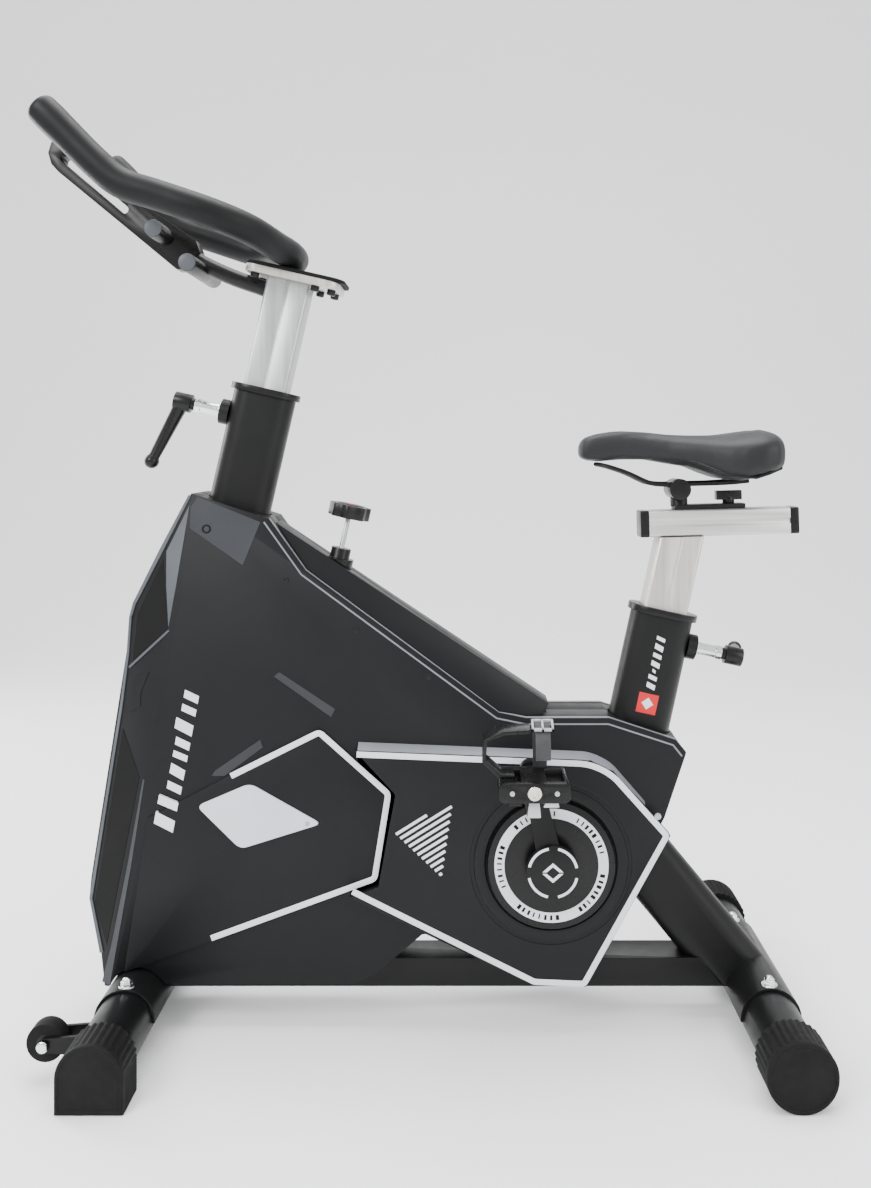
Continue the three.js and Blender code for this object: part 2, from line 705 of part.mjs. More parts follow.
const chamferWall = cover.wall * Math.hypot(1, cover.chamfer);
const panel = slab(outline(panelOutline), -cover.half - 5, -cover.half + 1);
const shroudWhole = cut(
  join(
    cut(
      shroudSolid(shroudOutline, cover.half, 0),
      shroudSolid(inset(shroudOutline, cover.wall), cover.half - cover.wall, chamferWall),
    ),
    panel,
    mirrored(panel, 1),
  ),
  ovalTube(headLine, headLow - 20, 60, coverGap),
  placed(block(-27, 27, -27, 27, -300, 10), legLine),
  ovalTube(seatLine, seatLow, 60, coverGap),
  ovalTube(strutLine, -strut.down, strut.up, coverGap),
  railBody(coverGap, frontFoot.x),
  topTubeBody(coverGap),
  footDrum(frontFoot, plateReach + coverGap),
  drum(crank.x, crank.z, crankAxle + coverGap, -100, 100, 24),
  shellPostBody(coverGap),
);
for (const [label, side] of sides) {
  const half = side < 0 ? block(-700, 500, -100, -gap / 2, 0, 900) : block(-700, 500, gap / 2, 100, 0, 900);
  piece(`shroud_${label}`, common(shroudWhole, half), "shroudBlack");
}

function spinePrism(inward, low, high) {
  const shape = outline([
    [inward, -spine.top + inward / 2], [inward, spine.top - inward / 2],
    [60 + inward, spine.foot + 8 - inward / 2], [60 + inward, -spine.foot - 8 + inward / 2],
  ]);
  return placed(column(shape, low, high), ridgeLine);
}

const spineCover = cut(
  spinePrism(0, -20, ridgeLength),
  spinePrism(spine.wall, -30, ridgeLength - spine.wall),
  shroudSolid(inset(shroudOutline, -gap), cover.half + gap, -gap),
  ovalTube(headLine, headLow, 60, coverGap),
  topTubeBody(gap),
  placed(rod([0, 0, -150], [0, 0, 0], brake.rod + coverGap, 16), brakeLine),
);
piece("spine_cover", spineCover, "shroudBlack");

const podCover = cut(
  join(
    cut(
      slab(outline(podOutline), -pod.face, -cover.half - gap),
      slab(outline(inset(podOutline, pod.wall)), -pod.face + pod.wall, -cover.half),
    ),
    cut(
      drum(crank.x, crank.z, podRing.outer, -pod.face - podRing.proud, -pod.face + 1, 48),
      drum(crank.x, crank.z, podRing.inner, -pod.face - podRing.proud - 1, -pod.face + 2, 48),
    ),
  ),
  drum(crank.x, crank.z, crankAxle + coverGap, -100, 0, 24),
);
const badge = slab(
  outline([[-392, 330], [-314, 363], [-209, 304], [-328, 267]]),
  -cover.half - 8, -cover.half - 5 - gap,
);
for (const [label, side] of sides) {
  piece(`belt_cover_${label}`, mirrored(podCover, side), "shroudBlack");
}
piece("badge_plate", badge, "badge");

// ---- resistance brake ----

const knobPoints = [];
for (let i = 0; i < 48; i += 1) {
  const angle = (i / 48) * 2 * Math.PI;
  const radius = brake.knob - 2 + 2 * Math.cos(8 * angle);
  knobPoints.push([radius * Math.cos(angle), radius * Math.sin(angle)]);
}
const knobHalf = brake.knobHeight / 2;
const wheelCentre = new THREE.Vector3(wheel.x, 0, wheel.z).applyMatrix4(brakeLine.clone().invert());
const padBottom = wheelCentre.z + Math.sqrt(wheel.radius ** 2 - wheelCentre.x ** 2);
const padTop = padBottom + 30;
const pad = cut(
  block(-20, 20, -11, 11, padBottom - 5, padTop),
  turnedBack(drum(wheel.x, wheel.z, wheel.radius + brake.padGap, -50, 50, 96), brakeLine),
);
const collar = cut(
  join(rod([0, 0, -110], [0, 0, -57], brake.collar, 24), rod([0, 0, -110], [0, 0, -72], brake.collar + 7, 24)),
  rod([0, 0, -120], [0, 0, 0], brake.rod + gap, 16),
  turnedBack(placed(block(-gap, 200, -100, 100, -200, 700), ridgeLine), brakeLine),
);
piece("brake_knob", column(outline(knobPoints), -knobHalf, knobHalf), "gloss", brakeGroup);
piece("brake_rod", rod([0, 0, padTop + gap], [0, 0, -knobHalf - gap], brake.rod, 16), "chrome", brakeGroup);
piece("brake_pad", pad, "leather", brakeGroup);
piece("brake_collar", collar, "gloss", brakeGroup);

// ---- posts and clamps ----

function bushBody() {
  const inner = roundRect(post.length + 2 * slideGap, post.width + 2 * slideGap, post.radius + slideGap);
  const spare = 2 * (tube.wall + gap);
  const liner = roundRect(tube.length - spare, tube.width - spare, tube.radius - tube.wall - gap);
  const lip = roundRect(tube.length + 2 * bush.overhang, tube.width + 2 * bush.overhang, tube.radius + bush.overhang);
  return cut(
    join(column(liner, -bush.depth, bush.lip, 4), column(lip, gap, bush.lip, 4)),
    column(inner, -bush.depth - 1, bush.lip + 1, 3),
  );
}

const screwTip = post.length / 2 + slideGap + gap;

// Screw, neck and lever for the front clamp; turn is the handle's direction round the screw
function clampLever(turn) {
  const tip = new THREE.Vector3(0, Math.sin(turn), -Math.cos(turn)).multiplyScalar(98);
  const x = -clampScrew.out;
  const z = clampScrew.z;
  const end = [x - 28, tip.y, z + tip.z];
  const knuckle = new THREE.SphereGeometry(11.5, 12, 8).translate(...end);
  return join(
    screwAlongX(-bossEnd - 2, -screwTip, clampScrew.radius),
    screwAlongX(x + 4, -bossEnd - gap, clampScrew.neck, 24),
    screwAlongX(x - 14, x + 12, 14, 20),
    rod([x - 2, 0, z], end, 11, 16, 8),
    knuckle,
  );
}

piece("head_bush", cut(bushBody(), screwBore), "gloss", headGroup);
piece("seat_bush", cut(bushBody(), placed(screwBore, backwards)), "gloss", seatGroup);
piece("front_clamp_lever", clampLever(0), "gloss", headGroup);
piece("seat_clamp_lever", clampLever(-Math.PI / 2).rotateZ(Math.PI), "gloss", seatGroup);
piece("handlebar_post", extrusion(post, barPost.low, barPost.high), "aluminium", headGroup);
const underRail = placed(block(-200, 200, -60, 60, -seatRail.height / 2 - gap, 300), railLine);
const seatPostSolid = cut(extrusion(post, seatPost.low, 200), turnedBack(underRail, seatLine));
piece("seat_post", seatPostSolid, "aluminium", seatGroup);

// ---- handlebar ----

const plateLow = barPost.high + gap;
const plateMiddle = (barPlate.front + barPlate.back) / 2;
const plateLength = barPlate.back - barPlate.front;
const plateShape = roundRect(plateLength, 2 * barPlate.half, 18);
const padShape = roundRect(plateLength + barPlate.padBack, 2 * barPlate.half + 4, 20);
const padLow = plateLow + barPlate.thick + gap;
const plateBody = column(plateShape, plateLow, padLow - gap, 5).translate(plateMiddle, 0, 0);
const padBody = column(padShape, padLow, padLow + barPlate.pad, 5).translate(plateMiddle + 3, 0, 0);
piece("bar_plate", plateBody, "aluminium", headGroup);
piece("bar_pad", padBody, "rubber", headGroup);

const crossPoint = new THREE.Vector3(-7, 0, drawnPad + gap + bar.radius).applyMatrix4(headLine);
const lift = new THREE.Vector3(0, 0, padLow + barPlate.pad - drawnPad).applyQuaternion(headGroup.quaternion);
const lifted = ([x, y, z]) => [x + lift.x, y, z + lift.z];
const hornPoints = [
  [-583, bar.half, 1320], [-550, bar.half, 1287], [-509, bar.half, 1246], [-474, bar.half, 1218],
  [-423, bar.half, 1201], [-351, bar.half - 4, 1177], [-304, bar.half - 37, 1161], [-275, 62, 1147.5],
];
const barPath = [
  ...hornPoints.map(([x, y, z]) => [x, -y, z]),
  [crossPoint.x, -25, crossPoint.z], [crossPoint.x, 25, crossPoint.z],
  ...hornPoints.toReversed(),
];
piece("handlebar", bentTube(barPath.map(lifted), bar.radius, 6, 48), "rubber");

const gripHalf = 17;
const gripOutline = outline([
  [-622, 1313], [-627, 1297], [-622, 1280], [-611, 1268], [-498, 1175], [-434, 1122], [-422, 1122],
  [-399, 1149], [-405, 1165], [-440, 1190], [-505, 1232], [-560, 1280], [-604, 1318],
]);
const slotLean = leaning({ x: -512, z: 1211.5, lean: -49.6 });
const gripSlot = placed(
  join(block(-6, 6, -50, 50, 0, 119), drum(0, 0, 6, -50, 50, 16), drum(0, 119, 6, -50, 50, 16)),
  slotLean,
);
const pegs = [[-450, 1170], [-401, 1121]].map(([x, z]) => drum(x, z, 13, -85, 85, 20));
const gripArm = bentTube([[-285, 0, 1088], [-313, 0, 1098], [-342, 0, 1108], [-369, 0, 1119],
  [-402, 0, 1135], [-430, 0, 1152]], 12.5, 7, 12);
const postKeep = placed(
  column(roundRect(post.length + 2 * gap, post.width + 2 * gap, 2), barPost.low, barPost.high, 3),
  headLine,
);
const gripShape = cut(join(gripArm, slab(gripOutline, -gripHalf, gripHalf), ...pegs), gripSlot);
const grip = cut(gripShape.translate(lift.x, 0, lift.z), postKeep);
piece("centre_grip", grip, "gloss");

// ---- seat rail and saddle ----

const railHalf = seatRail.length / 2 - seatRail.cap;
const railSection = {
  length: seatRail.height, width: seatRail.width, radius: 4, wall: seatRail.wall, groove: 8, depth: 2,
};
const railTop = seatRail.height / 2;
const seatRailBody = cut(
  extrusion(railSection, -railHalf, railHalf).rotateY(Math.PI / 2),
  block(-100, 85, -5.5, 5.5, railTop - 6, railTop + 5),
);
piece("seat_rail", seatRailBody, "aluminium", railGroup);
for (const [label, end] of [["front", -1], ["rear", 1]]) {
  const near = railHalf + gap;
  const far = seatRail.length / 2;
  const cap = column(roundRect(seatRail.height, seatRail.width, 4), Math.min(end * near, end * far),
    Math.max(end * near, end * far), 3).rotateY(Math.PI / 2);
  piece(`rail_cap_${label}`, cap, "gloss", railGroup);
}

const tiltDrum = (extra, half) => drum(tilt.x, tilt.z, tilt.radius + extra, -half, half, 24);
const sliderBody = cut(
  join(
    block(slider.front, slider.back, -slider.half, slider.half, railTop + gap, railTop + gap + slider.height),
    block(slider.front, slider.back - 8, -5.2, 5.2, railTop - 8, railTop + 2),
    block(slider.front, slider.back - 8, -12, 12, railTop - 10, railTop - seatRail.wall - 0.6),
    rod([tilt.x + 2, 0, railTop + 5], [tilt.x + 2, 0, tilt.z - 4], slider.stub, 24),
  ),
  tiltDrum(gap, 60),
  rod([slider.knobX, 0, railTop - 1], [slider.knobX, 0, 60], 4 + gap, 16),
);
piece("saddle_slider", sliderBody, "gloss", railGroup);
const knobBody = join(
  rod([slider.knobX, 0, railTop], [slider.knobX, 0, 36], 4, 16),
  rod([slider.knobX, 0, railTop + gap + slider.height + gap], [slider.knobX, 0, 36], 9, 20),
  block(slider.knobX - 19, slider.knobX + 19, -8, 8, 33, 47),
);
piece("saddle_knob", knobBody, "gloss", railGroup);
const wireHoles = [-1, 1].map((side) => {
  const z = tilt.z + wire.z;
  return rod([tilt.x - 40, side * wire.y, z], [tilt.x + 40, side * wire.y, z], wire.radius + gap, 14);
});
piece("saddle_clamp", cut(tiltDrum(0, tilt.half), ...wireHoles), "steel", railGroup);

const wireZ = tilt.z + wire.z;
const wireSide = (y) => [
  [42, y * 1.6, wireZ + 3], [20, y * 1.35, wireZ + 1], [-12, y, wireZ], [-36, y, wireZ], [-59, y, wireZ],
  [-82, y, wireZ], [-104, y, wireZ + 3], [-135, y * 0.75, wireZ + 18], [-168, y * 0.5, wireZ + 30],
];
const wirePath = [...wireSide(-wire.y), [-182, 0, wireZ + 33], ...wireSide(wire.y).toReversed()];
piece("saddle_wire", bentTube(wirePath, wire.radius, 3, 44), "chrome", railGroup);

const saddlePlan = [
  [saddle.nose, 12], [saddle.nose + 9, 22], [saddle.nose + 79, saddle.noseHalf], [310, 42], [360, 78],
  [400, saddle.half - 3], [440, saddle.half], [462, saddle.half - 16], [saddle.tail, 46],
];
const planShape = (points, less) => outline([
  ...points.map(([x, y]) => [x, -(y - less)]),
  ...points.toReversed().map(([x, y]) => [x, y - less]),
]);
const saddleUnder = [[462, 826], [420, 812], [380, 816], [340, 834], [280, 842], [220, 842], [185, 838]];
const saddleTop = [
  [saddle.nose, 846], [174, 862], [190, 872], [235, 875], [330, 867], [390, 870], [440, 877],
  [466, 872], [saddle.tail, 852],
];
const padSolid = common(
  slab(outline([...saddleTop, ...saddleUnder]), -120, 120),
  column(planShape(saddlePlan, 0), 780, 900),
);
const baseProfile = [
  ...saddleUnder.map(([x, z]) => [x, z - gap]),
  ...saddleUnder.toReversed().map(([x, z]) => [x, z - gap - 4]),
];
const baseSolid = common(
  slab(outline(baseProfile), -120, 120),
  column(planShape(saddlePlan, 8), 780, 900),
);
piece("saddle_pad", padSolid, "leather");
piece("saddle_base", baseSolid, "gloss");

// Stand the bike over the origin
bike.updateMatrixWorld(true);
const box = new THREE.Box3().setFromObject(bike, true);
bike.position.set(-(box.min.x + box.max.x) / 2, 0, -box.min.z);

export default bike;
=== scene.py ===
import json
import math
import random

import bmesh
import bpy
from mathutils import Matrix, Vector

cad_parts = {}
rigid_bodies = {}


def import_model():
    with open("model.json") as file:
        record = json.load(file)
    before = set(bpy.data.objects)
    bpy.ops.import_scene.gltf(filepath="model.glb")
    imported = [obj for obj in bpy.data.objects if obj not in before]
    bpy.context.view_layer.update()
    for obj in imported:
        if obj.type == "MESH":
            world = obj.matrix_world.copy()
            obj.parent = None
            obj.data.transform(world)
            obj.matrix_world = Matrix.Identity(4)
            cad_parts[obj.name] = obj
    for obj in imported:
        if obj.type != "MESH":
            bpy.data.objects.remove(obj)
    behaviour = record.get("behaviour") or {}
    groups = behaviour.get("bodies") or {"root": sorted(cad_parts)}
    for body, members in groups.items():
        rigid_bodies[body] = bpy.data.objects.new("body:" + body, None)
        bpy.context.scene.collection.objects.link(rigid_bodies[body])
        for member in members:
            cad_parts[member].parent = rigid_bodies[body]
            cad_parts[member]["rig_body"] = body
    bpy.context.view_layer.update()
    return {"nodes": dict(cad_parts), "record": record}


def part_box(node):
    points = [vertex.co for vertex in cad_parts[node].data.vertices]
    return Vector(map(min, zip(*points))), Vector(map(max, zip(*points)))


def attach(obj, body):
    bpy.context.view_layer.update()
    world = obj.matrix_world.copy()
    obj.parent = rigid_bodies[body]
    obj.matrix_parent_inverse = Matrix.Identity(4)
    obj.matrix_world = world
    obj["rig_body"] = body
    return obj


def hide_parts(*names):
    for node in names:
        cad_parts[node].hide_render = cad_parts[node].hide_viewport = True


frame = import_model()
nodes = frame["nodes"]
joints = {joint["name"]: joint for joint in frame["record"]["behaviour"]["joints"]}


def jointSpot(name):
    return Vector(joints[name]["pos_m"])


hub = (125, 250)  # crank centre, x and z in the bike's own millimetres
bikeStart = jointSpot("crank_spin").x - hub[0] / 1000  # where the bike's own x = 0 lies
bothSides = ((-1, "left"), (1, "right"))


def spot(x, y, z):  # bike millimetres to metres
    return Vector((bikeStart + x / 1000, y / 1000, z / 1000))


# patch and grain are noise scales, depth is the bump, wear is how much the edges show
finishes = {
    "frameBlack": dict(colour=(0.00338, 0.00346, 0.00378), light=(0.0054, 0.00554, 0.00594),
                       rough=(0.36, 0.48), patch=7, grain=1400, depth=0.10, coat=0.08, wear=0.5),
    "shroudBlack": dict(colour=(0.00405, 0.00427, 0.00481), light=(0.0058, 0.00616, 0.00688),
                        rough=(0.40, 0.52), patch=4, grain=2200, depth=0.16, coat=0.05, wear=0.35),
    # a grey for painted highlight on the black shroud's lit bevels and rims; the handlebar peg caps use the
    # same grey
    "greyAndPaintedHighlight": dict(colour=(0.05625, 0.06225, 0.07125), light=(0.08625, 0.09375, 0.105),
                      rough=(0.32, 0.42), patch=9, grain=2200, depth=0.10, coat=0.2, wear=0.3),
    "windowBlack": dict(colour=(0.0018, 0.00186, 0.0021), light=(0.0027, 0.00279, 0.00315),
                        rough=(0.5, 0.6), patch=6, grain=1500, depth=0.18, coat=0.0, wear=0.2),
    "glossBlack": dict(colour=(0.00315, 0.00315, 0.00343), light=(0.00525, 0.00525, 0.00577),
                       rough=(0.24, 0.34), patch=14, grain=2600, depth=0.06, coat=0.15, wear=0.4),
    "rubberBlack": dict(colour=(0.00405, 0.00405, 0.00423), light=(0.00693, 0.00693, 0.00731),
                        rough=(0.66, 0.82), patch=20, grain=1100, depth=0.35, coat=0.0, wear=0.3),
    "gripCoat": dict(colour=(0.00432, 0.00446, 0.0049), light=(0.0072, 0.00744, 0.00816),
                     rough=(0.40, 0.52), patch=10, grain=1700, depth=0.22, coat=0.0, wear=0.2),
    "chrome": dict(colour=(0.66, 0.67, 0.69), light=(0.80, 0.81, 0.82),
                   rough=(0.08, 0.16), patch=30, grain=900, depth=0.02, metal=1.0, coat=0.0, wear=0.0),
    "steel": dict(colour=(0.34, 0.35, 0.36), light=(0.50, 0.51, 0.52),
                  rough=(0.26, 0.40), patch=25, grain=1200, depth=0.08, metal=1.0, coat=0.0, wear=0.0),
    "castIron": dict(colour=(0.10, 0.10, 0.105), light=(0.16, 0.16, 0.165),
                     rough=(0.45, 0.60), patch=25, grain=700, depth=0.30, metal=0.7, coat=0.0, wear=0.4),
    "badgeSilver": dict(colour=(0.50, 0.54, 0.59), light=(0.60, 0.64, 0.69),
                        rough=(0.30, 0.38), patch=6, grain=3000, depth=0.04, metal=0.25, coat=0.2, wear=0.2),
    "trimWhite": dict(colour=(0.60, 0.63, 0.66), light=(0.72, 0.745, 0.77),
                      rough=(0.34, 0.44), patch=12, grain=2400, depth=0.05, coat=0.2, wear=0.1),
    "markRed": dict(colour=(0.50, 0.012, 0.016), light=(0.62, 0.022, 0.026),
                    rough=(0.34, 0.44), patch=20, grain=2400, depth=0.04, coat=0.2, wear=0.1),
    # a light grey for painted highlight along the shroud's upper edges and the pod's top fillet
    "paintedHighlightBand": dict(colour=(0.13, 0.14, 0.155), light=(0.19, 0.20, 0.22),
                     rough=(0.34, 0.44), patch=7, grain=2200, depth=0.08, coat=0.2, wear=0.2),
    # a dark grey for painted highlight on the embossed wedges of the shroud
    "paintedEmbossHighlight": dict(colour=(0.012, 0.0135, 0.015), light=(0.021, 0.023, 0.026),
                      rough=(0.34, 0.44), patch=6, grain=2000, depth=0.12, coat=0.3, wear=0.6),
    # a dark grey for painted sheen on the shroud's shoulder and lower front rim
    "paintedSheenGrey": dict(colour=(0.021, 0.0231, 0.0266), light=(0.0308, 0.0336, 0.0385),
                      rough=(0.30, 0.40), patch=6, grain=2000, depth=0.12, coat=0.3, wear=0.2),
    "brass": dict(colour=(0.52, 0.50, 0.42), light=(0.74, 0.72, 0.64),
                  rough=(0.18, 0.3), patch=60, grain=900, depth=0.06, metal=1.0, coat=0.0, wear=0.0),
}


def startMaterial(name):
    material = bpy.data.materials.new(name)
    material.use_nodes = True
    tree = material.node_tree
    coords = tree.nodes.new("ShaderNodeTexCoord").outputs["Object"]
    return material, tree, tree.nodes["Principled BSDF"], coords


def link(tree, fromSocket, toSocket):
    tree.links.new(fromSocket, toSocket)


def noise(tree, coords, scale, detail=4.0, roughness=0.55, stretch=None):
    texture = tree.nodes.new("ShaderNodeTexNoise")
    texture.inputs["Scale"].default_value = scale
    texture.inputs["Detail"].default_value = detail
    texture.inputs["Roughness"].default_value = roughness
    if stretch:
        mapping = tree.nodes.new("ShaderNodeMapping")
        mapping.inputs["Scale"].default_value = stretch
        link(tree, coords, mapping.inputs["Vector"])
        coords = mapping.outputs["Vector"]
    link(tree, coords, texture.inputs["Vector"])
    return texture.outputs["Fac"]


def spread(tree, value, low, high, fromLow=0.3, fromHigh=0.7):
    node = tree.nodes.new("ShaderNodeMapRange")
    node.inputs["From Min"].default_value = fromLow
    node.inputs["From Max"].default_value = fromHigh
    node.inputs["To Min"].default_value = low
    node.inputs["To Max"].default_value = high
    link(tree, value, node.inputs["Value"])
    return node.outputs["Result"]


def blendColours(tree, factor, first, second):
    node = tree.nodes.new("ShaderNodeMix")
    node.data_type = "RGBA"
    link(tree, factor, node.inputs["Factor"])
    for socket, value in ((node.inputs["A"], first), (node.inputs["B"], second)):
        if hasattr(value, "is_output"):
            link(tree, value, socket)
        else:
            socket.default_value = (*value, 1)
    return node.outputs["Result"]


def edgeMask(tree, radius):  # rounded normal, and 1 along the edges
    bevel = tree.nodes.new("ShaderNodeBevel")
    bevel.samples = 4
    bevel.inputs["Radius"].default_value = radius
    geometry = tree.nodes.new("ShaderNodeNewGeometry")
    dot = tree.nodes.new("ShaderNodeVectorMath")
    dot.operation = "DOT_PRODUCT"
    link(tree, bevel.outputs["Normal"], dot.inputs[0])
    link(tree, geometry.outputs["Normal"], dot.inputs[1])
    return bevel.outputs["Normal"], spread(tree, dot.outputs["Value"], 1, 0, 0.90, 0.995)


def bumped(tree, height, strength, distance, normal=None):
    bump = tree.nodes.new("ShaderNodeBump")
    bump.inputs["Strength"].default_value = strength
    bump.inputs["Distance"].default_value = distance
    link(tree, height, bump.inputs["Height"])
    if normal is not None:
        link(tree, normal, bump.inputs["Normal"])
    return bump.outputs["Normal"]


def solidFinish(name):
    look = finishes[name]
    material, tree, shader, coords = startMaterial(name)
    patches = noise(tree, coords, look["patch"], 5)
    colour = blendColours(tree, spread(tree, patches, 0, 1), look["colour"], look["light"])
    normal, edges = edgeMask(tree, 0.0009)
    if look["wear"]:
        scuffs = noise(tree, coords, 160, 6, 0.7)
        multiply = tree.nodes.new("ShaderNodeMath")
        multiply.operation = "MULTIPLY"
        link(tree, edges, multiply.inputs[0])
        link(tree, spread(tree, scuffs, 0, look["wear"], 0.42, 0.68), multiply.inputs[1])
        worn = tuple(min(1, value * 2.6 + 0.012) for value in look["light"])
        colour = blendColours(tree, multiply.outputs["Value"], colour, worn)
    link(tree, colour, shader.inputs["Base Color"])
    smears = noise(tree, coords, look["patch"] * 3.7, 6, 0.65)
    link(tree, spread(tree, smears, *look["rough"]), shader.inputs["Roughness"])
    grain = noise(tree, coords, look["grain"], 3, 0.6)
    link(tree, bumped(tree, grain, look["depth"], 0.0004, normal), shader.inputs["Normal"])
    shader.inputs["Metallic"].default_value = look.get("metal", 0.0)
    shader.inputs["Specular IOR Level"].default_value = 0.16
    shader.inputs["Coat Weight"].default_value = look["coat"]
    shader.inputs["Coat Roughness"].default_value = 0.35
    return material


def brushedAluminium(name, stretch, colour, light):
    material, tree, shader, coords = startMaterial(name)
    lines = noise(tree, coords, 60, 8, 0.7, stretch)
    clouds = noise(tree, coords, 9, 4)
    tone = blendColours(tree, spread(tree, lines, 0, 1, 0.35, 0.65), colour, light)
    dull = tuple(value * 0.86 for value in colour)
    link(tree, blendColours(tree, spread(tree, clouds, 0, 0.5), tone, dull), shader.inputs["Base Color"])
    link(tree, spread(tree, lines, 0.30, 0.46), shader.inputs["Roughness"])
    normal, _ = edgeMask(tree, 0.001)
    link(tree, bumped(tree, lines, 0.12, 0.0002, normal), shader.inputs["Normal"])
    shader.inputs["Metallic"].default_value = 0.75
    return material


def saddleLeather():
    material, tree, shader, coords = startMaterial("saddleLeather")
    cells = tree.nodes.new("ShaderNodeTexVoronoi")
    cells.feature = "DISTANCE_TO_EDGE"
    cells.inputs["Scale"].default_value = 620
    link(tree, coords, cells.inputs["Vector"])
    pebble = spread(tree, cells.outputs["Distance"], 0, 1, 0.0, 0.16)
    clouds = noise(tree, coords, 14, 5)
    base = blendColours(tree, spread(tree, clouds, 0, 1), (0.0050, 0.0056, 0.0068), (0.0095, 0.0104, 0.0125))
    link(tree, blendColours(tree, pebble, (0.0035, 0.0038, 0.0045), base), shader.inputs["Base Color"])
    link(tree, spread(tree, clouds, 0.42, 0.54), shader.inputs["Roughness"])
    creases = noise(tree, coords, 180, 6, 0.65)
    grain = bumped(tree, pebble, 0.22, 0.0004)
    link(tree, bumped(tree, creases, 0.12, 0.0012, grain), shader.inputs["Normal"])
    shader.inputs["Specular IOR Level"].default_value = 0.3
    return material


def strapWebbing():
    material, tree, shader, coords = startMaterial("strapWebbing")
    ribs = tree.nodes.new("ShaderNodeTexWave")
    ribs.inputs["Scale"].default_value = 260
    ribs.inputs["Distortion"].default_value = 1.5
    link(tree, coords, ribs.inputs["Vector"])
    link(tree, blendColours(tree, ribs.outputs["Fac"], (0.010, 0.010, 0.011), (0.028, 0.028, 0.030)),
         shader.inputs["Base Color"])
    link(tree, spread(tree, noise(tree, coords, 90, 4), 0.6, 0.8), shader.inputs["Roughness"])
    link(tree, bumped(tree, ribs.outputs["Fac"], 0.35, 0.0004), shader.inputs["Normal"])
    shader.inputs["Sheen Weight"].default_value = 0.2
    return material


looks = {name: solidFinish(name) for name in finishes}
aluminium = (("headAluminium", (3, 3, 0.06), (0.40, 0.41, 0.415), (0.52, 0.53, 0.535)),
             ("seatAluminium", (3, 3, 0.06), (0.50, 0.485, 0.46), (0.63, 0.615, 0.59)),
             ("railAluminium", (0.06, 3, 3), (0.50, 0.495, 0.485), (0.64, 0.635, 0.62)))
for name, stretch, colour, light in aluminium:
    looks[name] = brushedAluminium(name, stretch, colour, light)
looks["saddleLeather"] = saddleLeather()
looks["strapWebbing"] = strapWebbing()
print("materials ready:", len(looks))


def addObject(name, data):
    piece = bpy.data.objects.new(name, data)
    bpy.context.scene.collection.objects.link(piece)
    return piece


def shapeObject(name, vertices, faces, finish, body=None):
    mesh = bpy.data.meshes.new(name)
    mesh.from_pydata([tuple(v) for v in vertices], [], faces)
    mesh.update()
    piece = addObject(name, mesh)
    fixNormals(mesh)
    mesh.materials.append(looks[finish])
    smoothByAngle(mesh, 38)
    if body:
        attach(piece, body)
    return piece


def fixNormals(mesh):
    build = bmesh.new()
    build.from_mesh(mesh)
    bmesh.ops.remove_doubles(build, verts=build.verts, dist=1e-5)
    bmesh.ops.recalc_face_normals(build, faces=build.faces)
    build.to_mesh(mesh)
    build.free()


def smoothByAngle(mesh, degrees):
    limit = math.radians(degrees)
    build = bmesh.new()
    build.from_mesh(mesh)
    for face in build.faces:
        face.smooth = True
    for edge in build.edges:
        edge.smooth = len(edge.link_faces) == 2 and edge.calc_face_angle(0) < limit
    build.to_mesh(mesh)
    build.free()


def modify(piece, kind, **settings):
    modifier = piece.modifiers.new(kind.lower(), kind)
    for name, value in settings.items():
        setattr(modifier, name, value)
    return modifier


def settle(piece):
    bpy.context.view_layer.update()
    graph = bpy.context.evaluated_depsgraph_get()
    mesh = bpy.data.meshes.new_from_object(piece.evaluated_get(graph))
    piece.modifiers.clear()
    piece.data = mesh
    return piece


def softEdges(piece, width, segments=2, angle=32):
    modify(piece, "BEVEL", width=width, segments=segments, limit_method="ANGLE",
           angle_limit=math.radians(angle))
    settle(piece)
    smoothByAngle(piece.data, 44)
    return piece


def loft(name, rings, finish, body=None, caps=True):  # skins rings of equal length
    count = len(rings[0])
    vertices = [point for ring in rings for point in ring]
    faces = []
    for level in range(len(rings) - 1):
        for step in range(count):
            after = (step + 1) % count
            faces.append((level * count + step, level * count + after,
                          (level + 1) * count + after, (level + 1) * count + step))
    if caps:
        faces.append(tuple(reversed(range(count))))
        faces.append(tuple(range((len(rings) - 1) * count, len(rings) * count)))
    return shapeObject(name, vertices, faces, finish, body)


def smoothPath(points, perSpan):  # a curve through all of the points
    padded = [points[0] * 2 - points[1], *points, points[-1] * 2 - points[-2]]
    result = []
    for index in range(1, len(padded) - 2):
        p0, p1, p2, p3 = padded[index - 1:index + 3]
        for step in range(perSpan):
            t = step / perSpan
            result.append(0.5 * ((2 * p1) + (p2 - p0) * t + (2 * p0 - 5 * p1 + 4 * p2 - p3) * t * t
                                 + (3 * p1 - 3 * p2 + p3 - p0) * t ** 3))
    result.append(points[-1])
    return result


def sweepRings(path, radii, sides):
    tangents = []
    for index in range(len(path)):
        low, high = max(index - 1, 0), min(index + 1, len(path) - 1)
        tangents.append((path[high] - path[low]).normalized())
    side = tangents[0].orthogonal()
    rings = []
    for index, point in enumerate(path):
        side = (side - tangents[index] * side.dot(tangents[index])).normalized()
        other = tangents[index].cross(side)
        rings.append([point + (side * math.cos(turn) + other * math.sin(turn)) * radii[index]
                      for turn in (2 * math.pi * step / sides for step in range(sides))])
    return rings


def prism(name, outline, y0, y1, finish, body, edge=0.0, segments=2):  # outline is x and z, depth is y
    count = len(outline)
    vertices = [spot(x, y0, z) for x, z in outline] + [spot(x, y1, z) for x, z in outline]
    faces = [tuple(range(count)), tuple(range(count, 2 * count))]
    faces += [(i, (i + 1) % count, (i + 1) % count + count, i + count) for i in range(count)]
    piece = shapeObject(name, vertices, faces, finish, body)
    if edge:
        softEdges(piece, edge, segments)
    return piece


